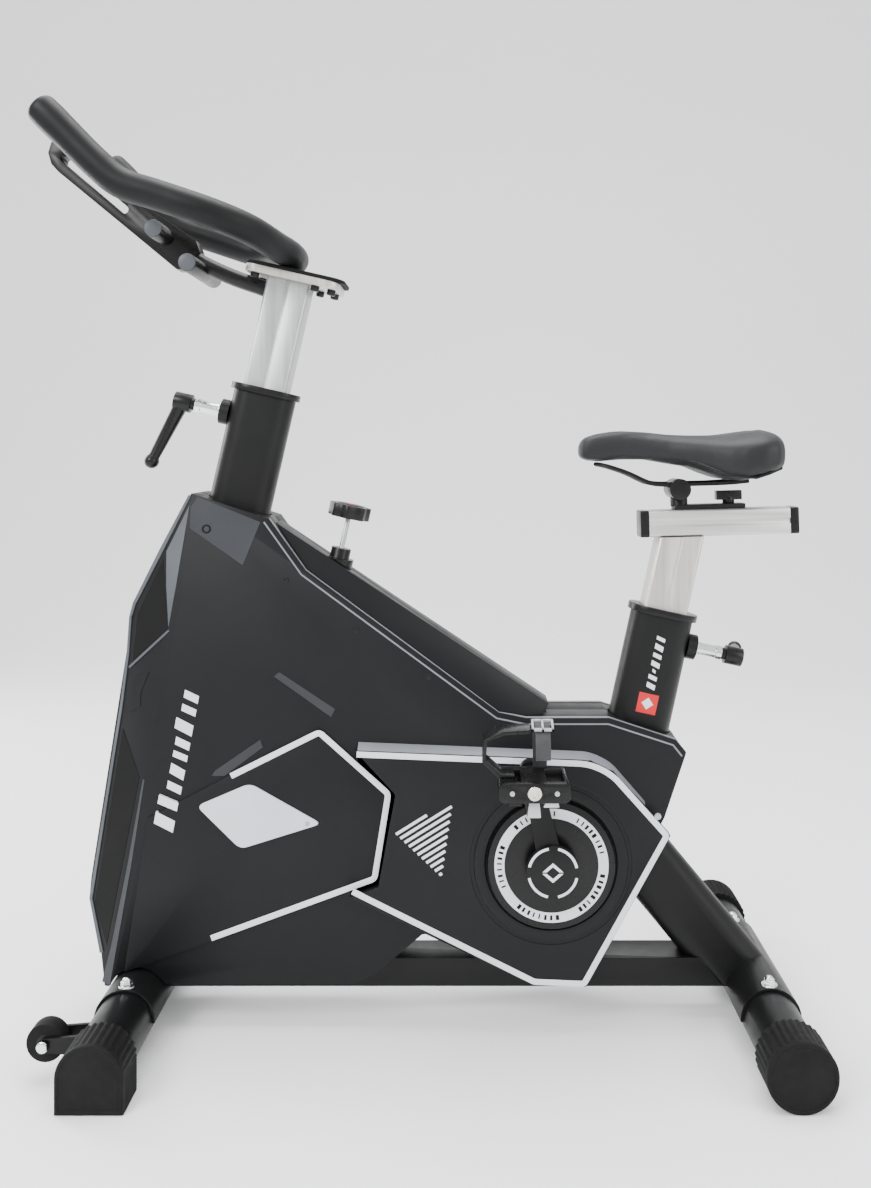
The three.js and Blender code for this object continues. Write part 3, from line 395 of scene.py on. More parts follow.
def turned(name, centre, axis, profile, finish, body, sides, flute=None):  # profile is along and radius
    axis = Vector(axis).normalized()
    side = axis.orthogonal().normalized()
    other = axis.cross(side)
    rings = []
    for along, radius in profile:
        ring = []
        for step in range(sides):
            turn = 2 * math.pi * step / sides
            reach = radius * (flute(turn, radius) if flute else 1)
            ring.append(centre + axis * along / 1000
                        + (side * math.cos(turn) + other * math.sin(turn)) * reach / 1000)
        rings.append(ring)
    return loft(name, rings, finish, body)


def refine(node, finish, edge=0.0, angle=30):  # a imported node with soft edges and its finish
    source = nodes[node]
    mesh = source.data.copy()
    mesh.name = node + "Look"
    piece = addObject(node + "Look", mesh)
    build = bmesh.new()
    build.from_mesh(mesh)
    bmesh.ops.remove_doubles(build, verts=build.verts, dist=1e-5)
    bmesh.ops.dissolve_limit(build, angle_limit=math.radians(0.6), verts=build.verts, edges=build.edges)
    bmesh.ops.recalc_face_normals(build, faces=build.faces)
    build.to_mesh(mesh)
    build.free()
    for name in [layer.name for layer in mesh.attributes if layer.name == "custom_normal"]:
        mesh.attributes.remove(mesh.attributes[name])
    mesh.materials.clear()
    mesh.materials.append(looks[finish])
    if edge:
        softEdges(piece, edge, 2, angle)
    else:
        smoothByAngle(mesh, angle)
    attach(piece, source["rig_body"])
    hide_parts(node)


print("helpers ready")

# node: finish and edge radius in millimetres
nodeFinishes = {
    "front_stabiliser": ("frameBlack", 0), "rear_stabiliser": ("frameBlack", 0),
    "head_tube": ("frameBlack", 0), "seat_tube": ("frameBlack", 0),
    "rear_strut": ("frameBlack", 0), "bottom_rail": ("frameBlack", 1.2),
    "top_tube": ("frameBlack", 1.2), "bottom_bracket_shell": ("frameBlack", 0.6),
    "flywheel_plate_left": ("frameBlack", 0.4), "flywheel_plate_right": ("frameBlack", 0.4),
    "flywheel": ("castIron", 0.8), "flywheel_shaft": ("steel", 0.3),
    "belt": ("rubberBlack", 0.3), "crank_axle": ("steel", 0.3), "transport_wheel_left": ("rubberBlack", 0.8),
    "transport_wheel_right": ("rubberBlack", 0.8), "pedal_axle_left": ("chrome", 0.3),
    "pedal_axle_right": ("chrome", 0.3), "brake_rod": ("steel", 0.2), "brake_pad": ("rubberBlack", 0.4),
    "brake_collar": ("glossBlack", 0.5), "head_bush": ("glossBlack", 1.2), "seat_bush": ("glossBlack", 1.2),
    "front_clamp_lever": ("glossBlack", 1.0), "seat_clamp_lever": ("glossBlack", 1.0),
    "handlebar_post": ("headAluminium", 0.5), "seat_post": ("seatAluminium", 0.5),
    "seat_rail": ("railAluminium", 0.5),
    "bar_plate": ("seatAluminium", 0.8), "bar_pad": ("rubberBlack", 0.9), "centre_grip": ("glossBlack", 2.2),
    "rail_cap_front": ("glossBlack", 1.0), "rail_cap_rear": ("glossBlack", 1.0),
    "saddle_slider": ("frameBlack", 0.7),
    "saddle_knob": ("glossBlack", 0.8), "saddle_clamp": ("glossBlack", 0.5), "saddle_wire": ("glossBlack", 0),
    "crank_left": ("frameBlack", 1.5), "crank_right": ("frameBlack", 1.5),
}
for node, (finish, edge) in nodeFinishes.items():
    refine(node, finish, edge / 1000)
print("plain pieces ready:", len(nodeFinishes))

shroudLook = {"edge": 0.0016, "podEdge": 0.0018, "spineEdge": 0.002, "trimWidth": 8.5, "trimRise": 0.5,
              "podRise": 0.4, "half": 58, "slope": 0.46, "podFace": 75, "panelFace": 63}
crease = {"x": -396, "z": 786, "lean": math.radians(9.64)}  # where the front chamfer starts
for side, label in bothSides:
    refine("shroud_" + label, "shroudBlack", shroudLook["edge"])
    refine("belt_cover_" + label, "shroudBlack", shroudLook["podEdge"])
refine("spine_cover", "shroudBlack", shroudLook["spineEdge"])


def strip(name, path, height, side, rise):  # a flat trim line on a side face
    rings = []
    width = shroudLook["trimWidth"]
    for index, (x, z) in enumerate(path):
        before = Vector(path[index - 1]) if index else None
        after = Vector(path[index + 1]) if index < len(path) - 1 else None
        here = Vector((x, z))
        first = (here - before).normalized() if before is not None else (after - here).normalized()
        second = (after - here).normalized() if after is not None else first
        normal = Vector((-first.y - second.y, first.x + second.x)).normalized()
        reach = width / 2 / max(0.4, normal.dot(Vector((-first.y, first.x))))
        a, b = here + normal * reach, here - normal * reach
        inner = height - 1.2
        top = height + rise
        rings.append([spot(a.x, side * inner, a.y), spot(a.x, side * (top - 0.15), a.y),
                      spot(a.x * 0.93 + b.x * 0.07, side * top, a.y * 0.93 + b.y * 0.07),
                      spot(a.x * 0.07 + b.x * 0.93, side * top, a.y * 0.07 + b.y * 0.93),
                      spot(b.x, side * (top - 0.15), b.y), spot(b.x, side * inner, b.y)])
    return loft(name, rings, "trimWhite", "frame")


def softCorners(points, radius, closed=True, steps=5):
    result = []
    count = len(points)
    for index in range(count):
        here = Vector(points[index])
        if not closed and index in (0, count - 1):
            result.append(tuple(here))
            continue
        before, after = Vector(points[index - 1]), Vector(points[(index + 1) % count])
        size = radius[index] if isinstance(radius, list) else radius
        reach = min(size, (before - here).length * 0.45, (after - here).length * 0.45)
        start = here + (before - here).normalized() * reach
        end = here + (after - here).normalized() * reach
        for step in range(steps + 1):
            t = step / steps
            result.append(tuple(start * (1 - t) ** 2 + here * 2 * t * (1 - t) + end * t * t))
    return result


upperEdge = [(-288, 749), (-234, 673), (50, 464), (90, 456), (212, 456), (310, 424), (325, 406)]


# painted highlight: a light grey band along the shroud's upper edge stands in for the light on its bevel
def bevelBand(name, path, side):
    rings = []
    for index, (x, z) in enumerate(path):
        here = Vector((x, z))
        first = here - Vector(path[index - 1]) if index else Vector(path[1]) - here
        second = Vector(path[index + 1]) - here if index < len(path) - 1 else first
        normal = Vector((-first.y, first.x)).normalized() + Vector((-second.y, second.x)).normalized()
        normal = normal.normalized() * (-1 if normal.y < 0 else 1)
        low, middle, high = here - normal * 9.5, here - normal * 4.5, here + normal * 0.5
        rings.append([spot(low.x, side * 58.35, low.y), spot(middle.x, side * 57.6, middle.y),
                      spot(high.x, side * 52.5, high.y), spot(high.x, side * 47, high.y + 0.1),
                      spot(low.x, side * 56, low.y)])
    return loft(name, rings, "paintedHighlightBand", "frame")


podTop = [(-156, 413.2), (183, 399.3), (214, 384), (262, 334)]
for side, label in bothSides:
    bevelBand("edgeBand_" + label, upperEdge, side)
for side, label in bothSides:
    # the pod's top fillet is coloured light grey as painted highlight
    rings = []
    for x, z in softCorners(podTop, 22, False, 6):
        fade = 1 if x < 214 else max(0.12, (262 - x) / 48)
        rings.append([spot(x, side * 74.2, z + 0.1), spot(x, side * 73.6, z + 0.9 * fade),
                      spot(x + 2 * (1 - fade), side * 58.3, z + 8.5 * fade),
                      spot(x, side * 57.6, z + 8 * fade),
                      spot(x, side * 57.6, z - 1)])
    loft("podFillet_" + label, rings, "paintedHighlightBand", "frame")
hexLine = [(-342, 373), (-213, 437), (-112, 347), (-132, 223), (-371, 136)]
podLine = [(-157, 408), (181, 394), (213, 379), (293, 290), (173, 75), (101, 78), (-163, 209)]
podCorners = [0, 22, 22, 4, 4, 4, 0]
for side, label in bothSides:
    strip("panelTrim_" + label, softCorners(hexLine, 5, False, 3), shroudLook["panelFace"], side,
          shroudLook["trimRise"])
    strip("podTrim_" + label, softCorners(podLine, podCorners, False, 6), shroudLook["podFace"], side,
          shroudLook["podRise"])
print("shroud ready")


def facePlate(name, outline, y, side, finish, rise, sink=1.5, edge=0.15):
    return prism(name, outline, side * (y - sink), side * (y + rise), finish, "frame", edge / 1000, 1)


def joined(name, pieces):  # several small pieces as one
    build = bmesh.new()
    for piece in pieces:
        build.from_mesh(piece.data)
    mesh = bpy.data.meshes.new(name)
    build.to_mesh(mesh)
    build.free()
    mesh.materials.append(pieces[0].data.materials[0])
    body = pieces[0]["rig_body"]
    for piece in pieces:
        bpy.data.objects.remove(piece)
    whole = addObject(name, mesh)
    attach(whole, body)
    return whole


def chamferSpot(x, z, side, rise):  # a point on the slanted front face
    along = (x - crease["x"]) * math.cos(crease["lean"]) - (z - crease["z"]) * math.sin(crease["lean"])
    y = shroudLook["half"] + shroudLook["slope"] * min(0, along)
    normal = Vector((-shroudLook["slope"], side, 0)).normalized()
    return spot(x, side * y, z) + normal * rise / 1000


def chamferPlate(name, outline, side, finish, rise, sink=1.2):
    count = len(outline)
    vertices = [chamferSpot(x, z, side, rise) for x, z in outline]
    vertices += [chamferSpot(x, z, side, -sink) for x, z in outline]
    faces = [tuple(range(count)), tuple(range(count, 2 * count))]
    faces += [(i, (i + 1) % count, (i + 1) % count + count, i + count) for i in range(count)]
    return shapeObject(name, vertices, faces, finish, "frame")


def chamferRib(name, path, width, side, finish, rise):
    left, right = [], []
    for index, point in enumerate(path):
        here = Vector(point)
        before = Vector(path[max(index - 1, 0)])
        after = Vector(path[min(index + 1, len(path) - 1)])
        along = (after - before).normalized()
        normal = Vector((-along.y, along.x))
        wide = width[index] if isinstance(width, list) else width
        left.append(tuple(here + normal * wide / 2))
        right.append(tuple(here - normal * wide / 2))
    return chamferPlate(name, left + right[::-1], side, finish, rise)


marks = {
    "windowUpper": [(-446, 688), (-488, 606), (-495, 536), (-437, 587), (-443, 649)],
    "windowLower": [(-509, 436), (-478.5, 369), (-528, 120), (-551, 174)],
    "bandUpper": [(-404, 769), (-441, 700), (-440, 650), (-435, 590), (-424, 650)],
    "rimOuter": [(-404, 783), (-451, 699), (-494, 620), (-500, 600), (-503, 545), (-512, 470), (-557, 182),
                 (-536, 108)],
    "rimOuterWidth": [4, 6, 5, 4, 4, 4, 5, 6],
    "rimDiagonal": [(-500, 526), (-434, 585)],
    "rimLower": [(-471, 366), (-492, 240), (-515, 120), (-527, 66)],
    "rimLowerWidth": [3, 6, 9, 14],
    "inner": [(-493, 512), (-466, 523), (-479, 492), (-480, 471), (-496, 460)],
    "holeSpot": (-379, 734), "shoulder": [(-392, 781), (-402, 766), (-403, 735), (-326, 681), (-300, 744)],
    "wedgeUpper": [(-280, 518), (-272, 524), (-190, 470), (-196, 458)],
    "wedgeLower": [(-371, 372), (-366, 380), (-300, 425), (-296, 414), (-352, 372)],
    "screws": [(-262.5, 659.4), (-158.4, 586.0), (-52.8, 517.1), (46.9, 446.7)],
    "badge": [(-392, 330), (-314, 363), (-209, 304), (-328, 267)], "badgeScrew": (-230, 304.5),
    "badgeBack": 63.3, "badgeTop": 66,
    "podBolt": (280, 318), "barStart": (-427, 290), "barEnd": (-388, 498), "barFaces": (63, 63, 58),
    "sideBars": [(1.5, 0, 30), (1.1, 0, 30), (1.0, 0, 22), (1.3, 0, 22), (0.8, 0, 22), (1.0, 0, 22),
                 (1.4, 0, 27), (0.9, 0, 22), (1.0, 0, 22)],
    "stripes": {"apex": (-103, 295), "top": (-18, 339), "low": (-34, 230), "count": 11, "width": 4.2,
                "slope": 0.62},
}


def stripeTriangle(name, side):
    look = marks["stripes"]
    apex, top, low = (Vector(look[key]) for key in ("apex", "top", "low"))
    along = Vector((1, look["slope"])).normalized()
    across = Vector((-along.y, along.x))
    corners = (apex, top, low)
    reach = [corner.dot(across) for corner in corners]
    start, end = min(reach), max(reach)
    pitch = (end - start) / look["count"]
    pieces = []
    for index in range(look["count"]):
        level = start + pitch * (index + 0.5)
        crossings = []
        for first, second in ((apex, top), (top, low), (low, apex)):
            a, b = first.dot(across) - level, second.dot(across) - level
            if a * b < 0:
                crossings.append(first.lerp(second, a / (a - b)).dot(along))
        if len(crossings) < 2:
            continue
        left, right = min(crossings), max(crossings)
        centreLine = [along * left + across * level, along * right + across * level]
        half = across * look["width"] / 2
        outline = [tuple(centreLine[0] + half), tuple(centreLine[0] - half),
                   tuple(centreLine[1] - half), tuple(centreLine[1] + half)]
        pieces.append(facePlate(name + str(index), outline, shroudLook["podFace"], side, "trimWhite", 0.25))
    return joined(name, pieces)


def screwHead(name, x, y, z, side, radius, finish, body="frame", rise=1.2):
    centre = spot(x, side * (y - 1), z)
    profile = [(0, radius), (1 + rise * 0.7, radius), (1 + rise, radius * 0.8), (1 + rise, radius * 0.45),
               (rise * 0.4 + 1, radius * 0.4)]
    return turned(name, centre, (0, side, 0), profile, finish, body, sides=20)


def barMarks(name, start, end, bars, side, faces, finish):  # plain slanted bars along a line
    start, end = Vector(start), Vector(end)
    along = (end - start).normalized()
    up = Vector((-along.y, along.x))
    unit = (end - start).length / sum(bar[0] for bar in bars)
    pieces = []
    reached = 0.0
    for index, (width, low, high) in enumerate(bars):
        corner = start + along * reached * unit
        size = width * unit * 0.55
        skew = along * size * 0.5
        outline = [tuple(corner + up * low), tuple(corner + along * size + up * low),
                   tuple(corner + along * size + up * high + skew), tuple(corner + up * high + skew)]
        y = faces[min(index, len(faces) - 1)]
        pieces.append(facePlate(f"{name}{index}", outline, y, side, finish, 0.3, 6 if y > 60 else 1.5))
        reached += width
    return joined(name, pieces)


for side, label in bothSides:
    chamferPlate("windowUpper_" + label, marks["windowUpper"], side, "windowBlack", 0.4)
    chamferPlate("windowLower_" + label, marks["windowLower"], side, "windowBlack", 0.4)
    # the upper band, the outer rim and the diagonal rim are grey as painted highlight on lit bevels of the
    # black shroud
    chamferPlate("bandUpper_" + label, marks["bandUpper"], side, "greyAndPaintedHighlight", 0.8)
    chamferPlate("facetInner_" + label, marks["inner"], side, "frameBlack", 0.6)
    chamferRib("rimOuter_" + label, marks["rimOuter"], marks["rimOuterWidth"], side, "greyAndPaintedHighlight", 1.2)
    chamferRib("rimDiagonal_" + label, marks["rimDiagonal"], 3.2, side, "greyAndPaintedHighlight", 1.4)
    # the lower rim and the shoulder are coloured as painted sheen on the black shroud
    chamferRib("rimLower_" + label, marks["rimLower"], marks["rimLowerWidth"], side, "paintedSheenGrey", 1.0)
    facePlate("shoulder_" + label, marks["shoulder"], shroudLook["half"], side, "paintedSheenGrey", 0.3)
    # the wedges are coloured as painted highlight on embossed bevels
    for key in ("wedgeUpper", "wedgeLower"):
        facePlate(key + "_" + label, marks[key], shroudLook["half"], side, "paintedEmbossHighlight", 0.9)
    # the shoulder hole is a shallow cup in the darkest black, painted shade for the inside of the hole
    turned("shoulderHole_" + label, spot(marks["holeSpot"][0], side * 57, marks["holeSpot"][1]), (0, side, 0),
           [(0, 6.5), (2.2, 6.5), (2.4, 6), (2.4, 4.6), (1.2, 4.3)], "windowBlack", "frame", sides=28)
    stripeTriangle("stripes_" + label, side)
    for index, (x, z) in enumerate(marks["screws"]):
        screwHead(f"shroudScrew_{label}{index}", x, shroudLook["half"], z, side, 4.4, "glossBlack", rise=0.8)
    x, z = marks["podBolt"]
    screwHead("podBolt_" + label, x, shroudLook["podFace"], z, side, 5, "steel")
    barMarks("sideMark_" + label, marks["barStart"], marks["barEnd"], marks["sideBars"], side,
             marks["barFaces"], "trimWhite")
x, z = marks["badgeScrew"]
screwHead("badgeScrew", x, marks["badgeTop"], z, -1, 3.2, "steel")
badge = facePlate("badgeLook", softCorners(marks["badge"], 11), marks["badgeBack"], -1, "badgeSilver",
                  2.7, 0, 0.5)
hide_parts("badge_plate")
print("markings ready")

tubeMark = {"spot": (272, 471.7), "size": 30, "diamond": 9, "face": 31.0, "across": 6, "from": 21, "to": 104,
            "bars": [(1.2, 0, 13), (1, 0, 13), (0.7, 4, 9), (1.2, 0, 13), (1, 0, 13), (1.3, 0, 13),
                     (0.9, 0, 13)]}
seatLean = math.radians(12.4)


def leaned(centre, along, up):  # a point in the seat tube's own tilt
    return (centre[0] + along * math.cos(seatLean) + up * math.sin(seatLean),
            centre[1] - along * math.sin(seatLean) + up * math.cos(seatLean))


for side, label in bothSides:
    half = tubeMark["size"] / 2
    square = [leaned(tubeMark["spot"], a * half, b * half) for a, b in ((-1, -1), (1, -1), (1, 1), (-1, 1))]
    facePlate("tubeSquare_" + label, square, tubeMark["face"], side, "markRed", 0.25)
    diamond = [leaned(tubeMark["spot"], a * tubeMark["diamond"], b * tubeMark["diamond"])
               for a, b in ((-1, 0), (0, -1), (1, 0), (0, 1))]
    facePlate("tubeDiamond_" + label, diamond, tubeMark["face"], side, "trimWhite", 0.45)
    start, end = (leaned(tubeMark["spot"], tubeMark["across"], tubeMark[key]) for key in ("from", "to"))
    barMarks("tubeMark_" + label, start, end, tubeMark["bars"], side, (tubeMark["face"],), "trimWhite")
print("tube mark ready")

ringLook = {"inner": 68, "outer": 82.4, "face": -84.3, "tickInner": 71.6, "tickOuter": 78.8,
            "groups": 5, "ticks": 8, "tickStep": 6.4, "tickWide": (1.6, 2.6, 3.6),
            "dashInner": 32.6, "dashOuter": 36.4, "dashStarts": (12, 100, 192, 282), "dashLong": 66,
            "capFace": 111.2, "capRise": 1.1, "groove": (118, 120),
            "chevrons": [[(-15, 2), (-9, 2), (0, 9.5), (9, 2), (15, 2), (0, 15)],
                         [(-15, 0), (0, -13), (15, 0), (9, 0), (0, -7.5), (-9, 0)]]}


def ringBand(name, inner, outer, y0, y1, finish, body, start=0.0, end=360.0, steps=96):
    whole = end - start >= 360
    rings = []
    count = steps if whole else steps + 1
    for step in range(count):
        turn = math.radians(start + (end - start) * step / steps)
        ring = []
        for radius, y in ((inner, y0), (outer, y0), (outer, y1), (inner, y1)):
            ring.append(spot(hub[0] + radius * math.cos(turn), y, hub[1] + radius * math.sin(turn)))
        rings.append(ring)
    if whole:
        rings.append(rings[0])
    return loft(name, rings, finish, body, caps=not whole)


refine("crank_disc", "glossBlack", 0.0008)
face = ringLook["face"]
ringBand("ringLabel", ringLook["inner"], ringLook["outer"], face + 0.8, face, "trimWhite", "cranks")
ticks = []
random.seed(4)
for group in range(ringLook["groups"]):
    for mark in range(ringLook["ticks"]):
        angle = group * 360 / ringLook["groups"] + 14 + mark * ringLook["tickStep"]
        ticks.append(ringBand(f"tick{group}_{mark}", ringLook["tickInner"], ringLook["tickOuter"], face + 0.3,
                              face - 0.2, "windowBlack", "cranks", angle,
                              angle + random.choice(ringLook["tickWide"]), 3))
joined("ringTicks", ticks)
for side, label in bothSides:
    low, high = side * ringLook["capFace"], side * (ringLook["capFace"] + ringLook["capRise"])
    dashes = [ringBand("dash", ringLook["dashInner"], ringLook["dashOuter"], low, high, "trimWhite", "cranks",
                       start, start + ringLook["dashLong"], 16) for start in ringLook["dashStarts"]]
    joined("hubDashes_" + label, dashes)
    joined("hubMark_" + label, [prism("hubBar", [(hub[0] + x, hub[1] + z - 1) for x, z in shape], low, high,
                                      "trimWhite", "cranks") for shape in ringLook["chevrons"]])
    ringBand("podRing_" + label, *ringLook["groove"], side * 74.5, side * 75.6, "frameBlack", "frame")
print("crank ring ready")

barLook = {"radius": 0.0215, "sides": 32, "endRound": 0.009, "swell": 0.0008,
           "path": [(-583, 155, 1320), (-550, 155, 1287), (-509, 155, 1246), (-474, 155, 1218),
                    (-423, 155, 1201), (-351, 151, 1177), (-304, 118, 1161), (-275, 62, 1147.5),
                    (-262.2, 25, 1142.6)]}  # right half, tip first


def barEnd(tip, before):  # points and radii that round off a tip
    cap = barLook["endRound"]
    outward = (tip - before).normalized()
    return [(tip + outward * cap * math.sin(turn), barLook["radius"] - cap + cap * math.cos(turn))
            for turn in (math.pi / 2 * step / 6 for step in range(1, 7))]


def barShape():
    points = [spot(x, -y, z) for x, y, z in barLook["path"]]
    points += [spot(x, y, z) for x, y, z in reversed(barLook["path"])]
    path = smoothPath(points, 8)
    radii = []
    for point in path:
        reach = min((point - path[0]).length, (point - path[-1]).length)
        radii.append(barLook["radius"] + barLook["swell"] * math.exp(-((reach - 0.02) / 0.02) ** 2))
    front, back = barEnd(path[0], path[1]), barEnd(path[-1], path[-2])
    centres = [point for point, _ in reversed(front)] + path + [point for point, _ in back]
    radii = [radius for _, radius in reversed(front)] + radii + [radius for _, radius in back]
    rings = sweepRings(centres, radii, barLook["sides"])
    piece = loft("handlebarLook", rings, "gripCoat", "handlebar_assembly")
    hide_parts("handlebar")


barShape()
for side in (-1, 1):
    for end, (x, z) in (("fore", (-450, 1170)), ("aft", (-401, 1121))):
        # the peg caps use the same grey as the shroud's painted highlight
        turned(f"pegCap{end}{side}", spot(x, side * 84.6, z), (0, side, 0),
               [(0, 12.4), (0.9, 12.4), (1.3, 11.6), (1.3, 4)], "greyAndPaintedHighlight", "handlebar_assembly", sides=32)
headLean = math.radians(12.9)


def headSpot(x, y, z):
    return spot(-303 + x * math.cos(headLean) + z * math.sin(headLean), y,
                933 - x * math.sin(headLean) + z * math.cos(headLean))


headUp = Vector((math.sin(headLean), 0, math.cos(headLean)))
for x, y in ((-50, -30), (-50, 30), (42, -30), (42, 30), (66, -22), (66, 22)):
    turned(f"plateBolt{x}_{y}", headSpot(x, y, 175.6), -headUp,
           [(0, 6.5), (7, 6.5), (8.4, 5.4), (8.4, 3.2), (5, 3)], "glossBlack", "handlebar_assembly", sides=24)
print("handlebar ready")

# stations are x, half width, top and low; dip is the groove's depth along the middle
saddleLook = {"around": 48, "between": 3, "dip": 3.5, "dipWide": 11, "voxel": 0.0045, "puffLimit": 0.0028,
              "stations": [
              (171, 15, 857, 842), (174, 21, 865, 837), (182, 25, 871, 834.6), (200, 27, 875.5, 835),
              (235, 28.5, 877, 838), (270, 32, 875, 838), (305, 41, 871, 832), (335, 58, 869.5, 827.5),
              (362, 78, 869.5, 817), (385, 90, 871, 809.5), (410, 97, 874.5, 806), (435, 98.5, 878, 811),
              (454, 92, 877.5, 817.6), (466, 77, 871.5, 823), (472, 53, 859.5, 832)]}


def saddleShape():
    around, between, stations = saddleLook["around"], saddleLook["between"], saddleLook["stations"]
    fine = []
    for here, after in zip(stations, stations[1:]):
        for step in range(between):
            t = step / between
            fine.append([a * (1 - t) + b * t for a, b in zip(here, after)])
    fine.append(stations[-1])
    rings = []
    for x, half, top, low in fine:
        ring = []
        rear = max(0.0, min(1.0, (x - 300) / 110))
        height = (top - low) * 0.5
        for step in range(around):
            turn = 2 * math.pi * step / around
            across, upward = math.cos(turn), math.sin(turn)
            y = math.copysign(abs(across) ** (0.62 if upward > 0 else 0.40), across)
            if upward >= 0:
                groove = math.exp(-(y * half / saddleLook["dipWide"]) ** 2)
                dip = saddleLook["dip"] * groove * (0.4 + 0.6 * rear)
                level = low + height + height * upward ** 0.78 - dip * min(1, upward / 0.6)
            else:
                level = low + height * (1 - abs(upward) ** 0.35)
            ring.append(spot(x, y * half, level))
        rings.append(ring)
    piece = loft("saddleLook", rings, "saddleLeather", None)
    modify(piece, "REMESH", mode="VOXEL", voxel_size=saddleLook["voxel"])
    modify(piece, "SMOOTH", factor=0.5, iterations=6)
    settle(piece)
    return piece


def puff(piece):  # cloth under pressure, held near its start
    bpy.context.view_layer.objects.active = piece
    cloth = piece.modifiers.new("cloth", "CLOTH")
    cloth.settings.quality = 6
    cloth.settings.mass = 0.35
    cloth.settings.tension_stiffness = 60
    cloth.settings.compression_stiffness = 60
    cloth.settings.bending_stiffness = 8
    cloth.settings.use_pressure = True
    cloth.settings.uniform_pressure_force = 4
    cloth.settings.effector_weights.gravity = 0
    cloth.point_cache.frame_start = 1
    cloth.point_cache.frame_end = 20
    before = [vertex.co.copy() for vertex in piece.data.vertices]
    for frameNumber in range(1, 21):
        bpy.context.scene.frame_set(frameNumber)
    graph = bpy.context.evaluated_depsgraph_get()
    mesh = bpy.data.meshes.new_from_object(piece.evaluated_get(graph))
    piece.modifiers.clear()
    limit = saddleLook["puffLimit"]
    if len(mesh.vertices) == len(before):
        for vertex, start in zip(mesh.vertices, before):
            move = vertex.co - start
            if move.length > limit:
                vertex.co = start + move.normalized() * limit
        piece.data = mesh
    bpy.context.scene.frame_set(1)


pad = saddleShape()
puff(pad)
modify(pad, "SUBSURF", levels=1, render_levels=1)
settle(pad)
for face in pad.data.polygons:
    face.use_smooth = True
pad.data.materials.clear()
pad.data.materials.append(looks["saddleLeather"])
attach(pad, "saddle")
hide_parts("saddle_pad")
refine("saddle_base", "glossBlack", 0.0008)
print("saddle ready")

footLook = {"front": (-480.5, 45), "rear": (432.4, 46.8), "half": 44.5, "rearRadius": 46.8, "inner": 208,
            "outer": 270, "ridge": 1.5, "ridges": 32, "nutY": 108, "roller": (-563, 185, 54)}


def domeOutline(shrink, ridge):  # flat foot, ridged sides and a round top
    x0, z0 = footLook["front"]
    half = footLook["half"] - shrink
    points = []
    for step in range(10):
        points.append((x0 - half + 2 * half * step / 9, shrink))
    wall = [(half - (ridge if step % 3 == 1 else 0), shrink + (z0 - shrink) * step / 30)
            for step in range(1, 30)]
    points += [(x0 + x, z) for x, z in wall]
    for step in range(61):
        turn = math.pi * step / 60
        reach = half - (ridge if step % 4 in (1, 2) else 0)
        points.append((x0 + reach * math.cos(turn), z0 + reach * math.sin(turn)))
    return points + [(x0 - x, z) for x, z in reversed(wall)]


def rearOutline(shrink, ridge):
    x0, z0 = footLook["rear"]
    count = footLook["ridges"] * 4
    points = []
    for step in range(count):
        turn = 2 * math.pi * step / count
        reach = footLook["rearRadius"] - shrink - (ridge if step % 4 in (1, 2) else 0)
        points.append((x0 + reach * math.cos(turn), z0 + reach * math.sin(turn)))
    return points


def footCap(name, shape, side, body, node):
    inner, outer, ridge = footLook["inner"], footLook["outer"], footLook["ridge"]
    levels = [(inner, 0.6, ridge), (inner + 0.8, 0, ridge), (outer - 9, 0, ridge), (outer - 8, 0.2, 0),
              (outer - 3, 0, 0), (outer - 1.2, 0.7, 0), (outer - 0.2, 2.4, 0), (outer, 4.5, 0),
              (outer - 1.3, 6, 0)]
    rings = []
    for y, shrink, depth in levels:
        rings.append([spot(x, side * y, z) for x, z in shape(shrink, depth)])
    piece = loft(name, rings, "rubberBlack", body)
    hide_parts(node)


def hexNut(turn, radius):
    return 1 / math.cos((turn + math.pi / 6) % (math.pi / 3) - math.pi / 6)


for side, label in bothSides:
    footCap("frontCapLook_" + label, domeOutline, side, "frame", "front_foot_cap_" + label)
    footCap("rearCapLook_" + label, rearOutline, side, "rear_cap_" + label, "rear_foot_cap_" + label)
    for key, top in (("front", 88.3), ("rear", 90.1)):
        x = footLook[key][0]
        turned(f"plateWasher_{key}_{label}", spot(x, side * footLook["nutY"], top - 1.6), (0, 0, 1),
               [(0, 11.5), (2.6, 11.5), (3.2, 10.6), (3.2, 6)], "chrome", "frame", sides=32)
        turned(f"plateNut_{key}_{label}", spot(x, side * footLook["nutY"], top + 1.4), (0, 0, 1),
               [(0, 7.2), (5.6, 7.2), (6.4, 6.6)], "chrome", "frame", sides=36, flute=hexNut)
        turned(f"nutDome_{key}_{label}", spot(x, side * footLook["nutY"], top + 7.4), (0, 0, 1),
               [(0, 6.2), (1.6, 6.0), (3.4, 5.0), (4.8, 3.2), (5.4, 1.0)], "chrome", "frame", sides=28)
    rollerX, rollerY, rollerZ = footLook["roller"]
    for end in (-1, 1):
        turned(f"rollerBolt_{label}{end}", spot(rollerX, side * rollerY + end * 21, rollerZ), (0, end, 0),
               [(0, 7.8), (2.4, 7.8), (3.6, 6.6), (3.9, 4.2)], "chrome", "frame", sides=30)
    turned(f"rollerHub_{label}", spot(rollerX, side * rollerY - 12.4, rollerZ), (0, 1, 0),
           [(0, 10), (0.2, 11.5), (24.6, 11.5), (24.8, 10)], "glossBlack", "roller_" + label, sides=30)
print("feet ready")

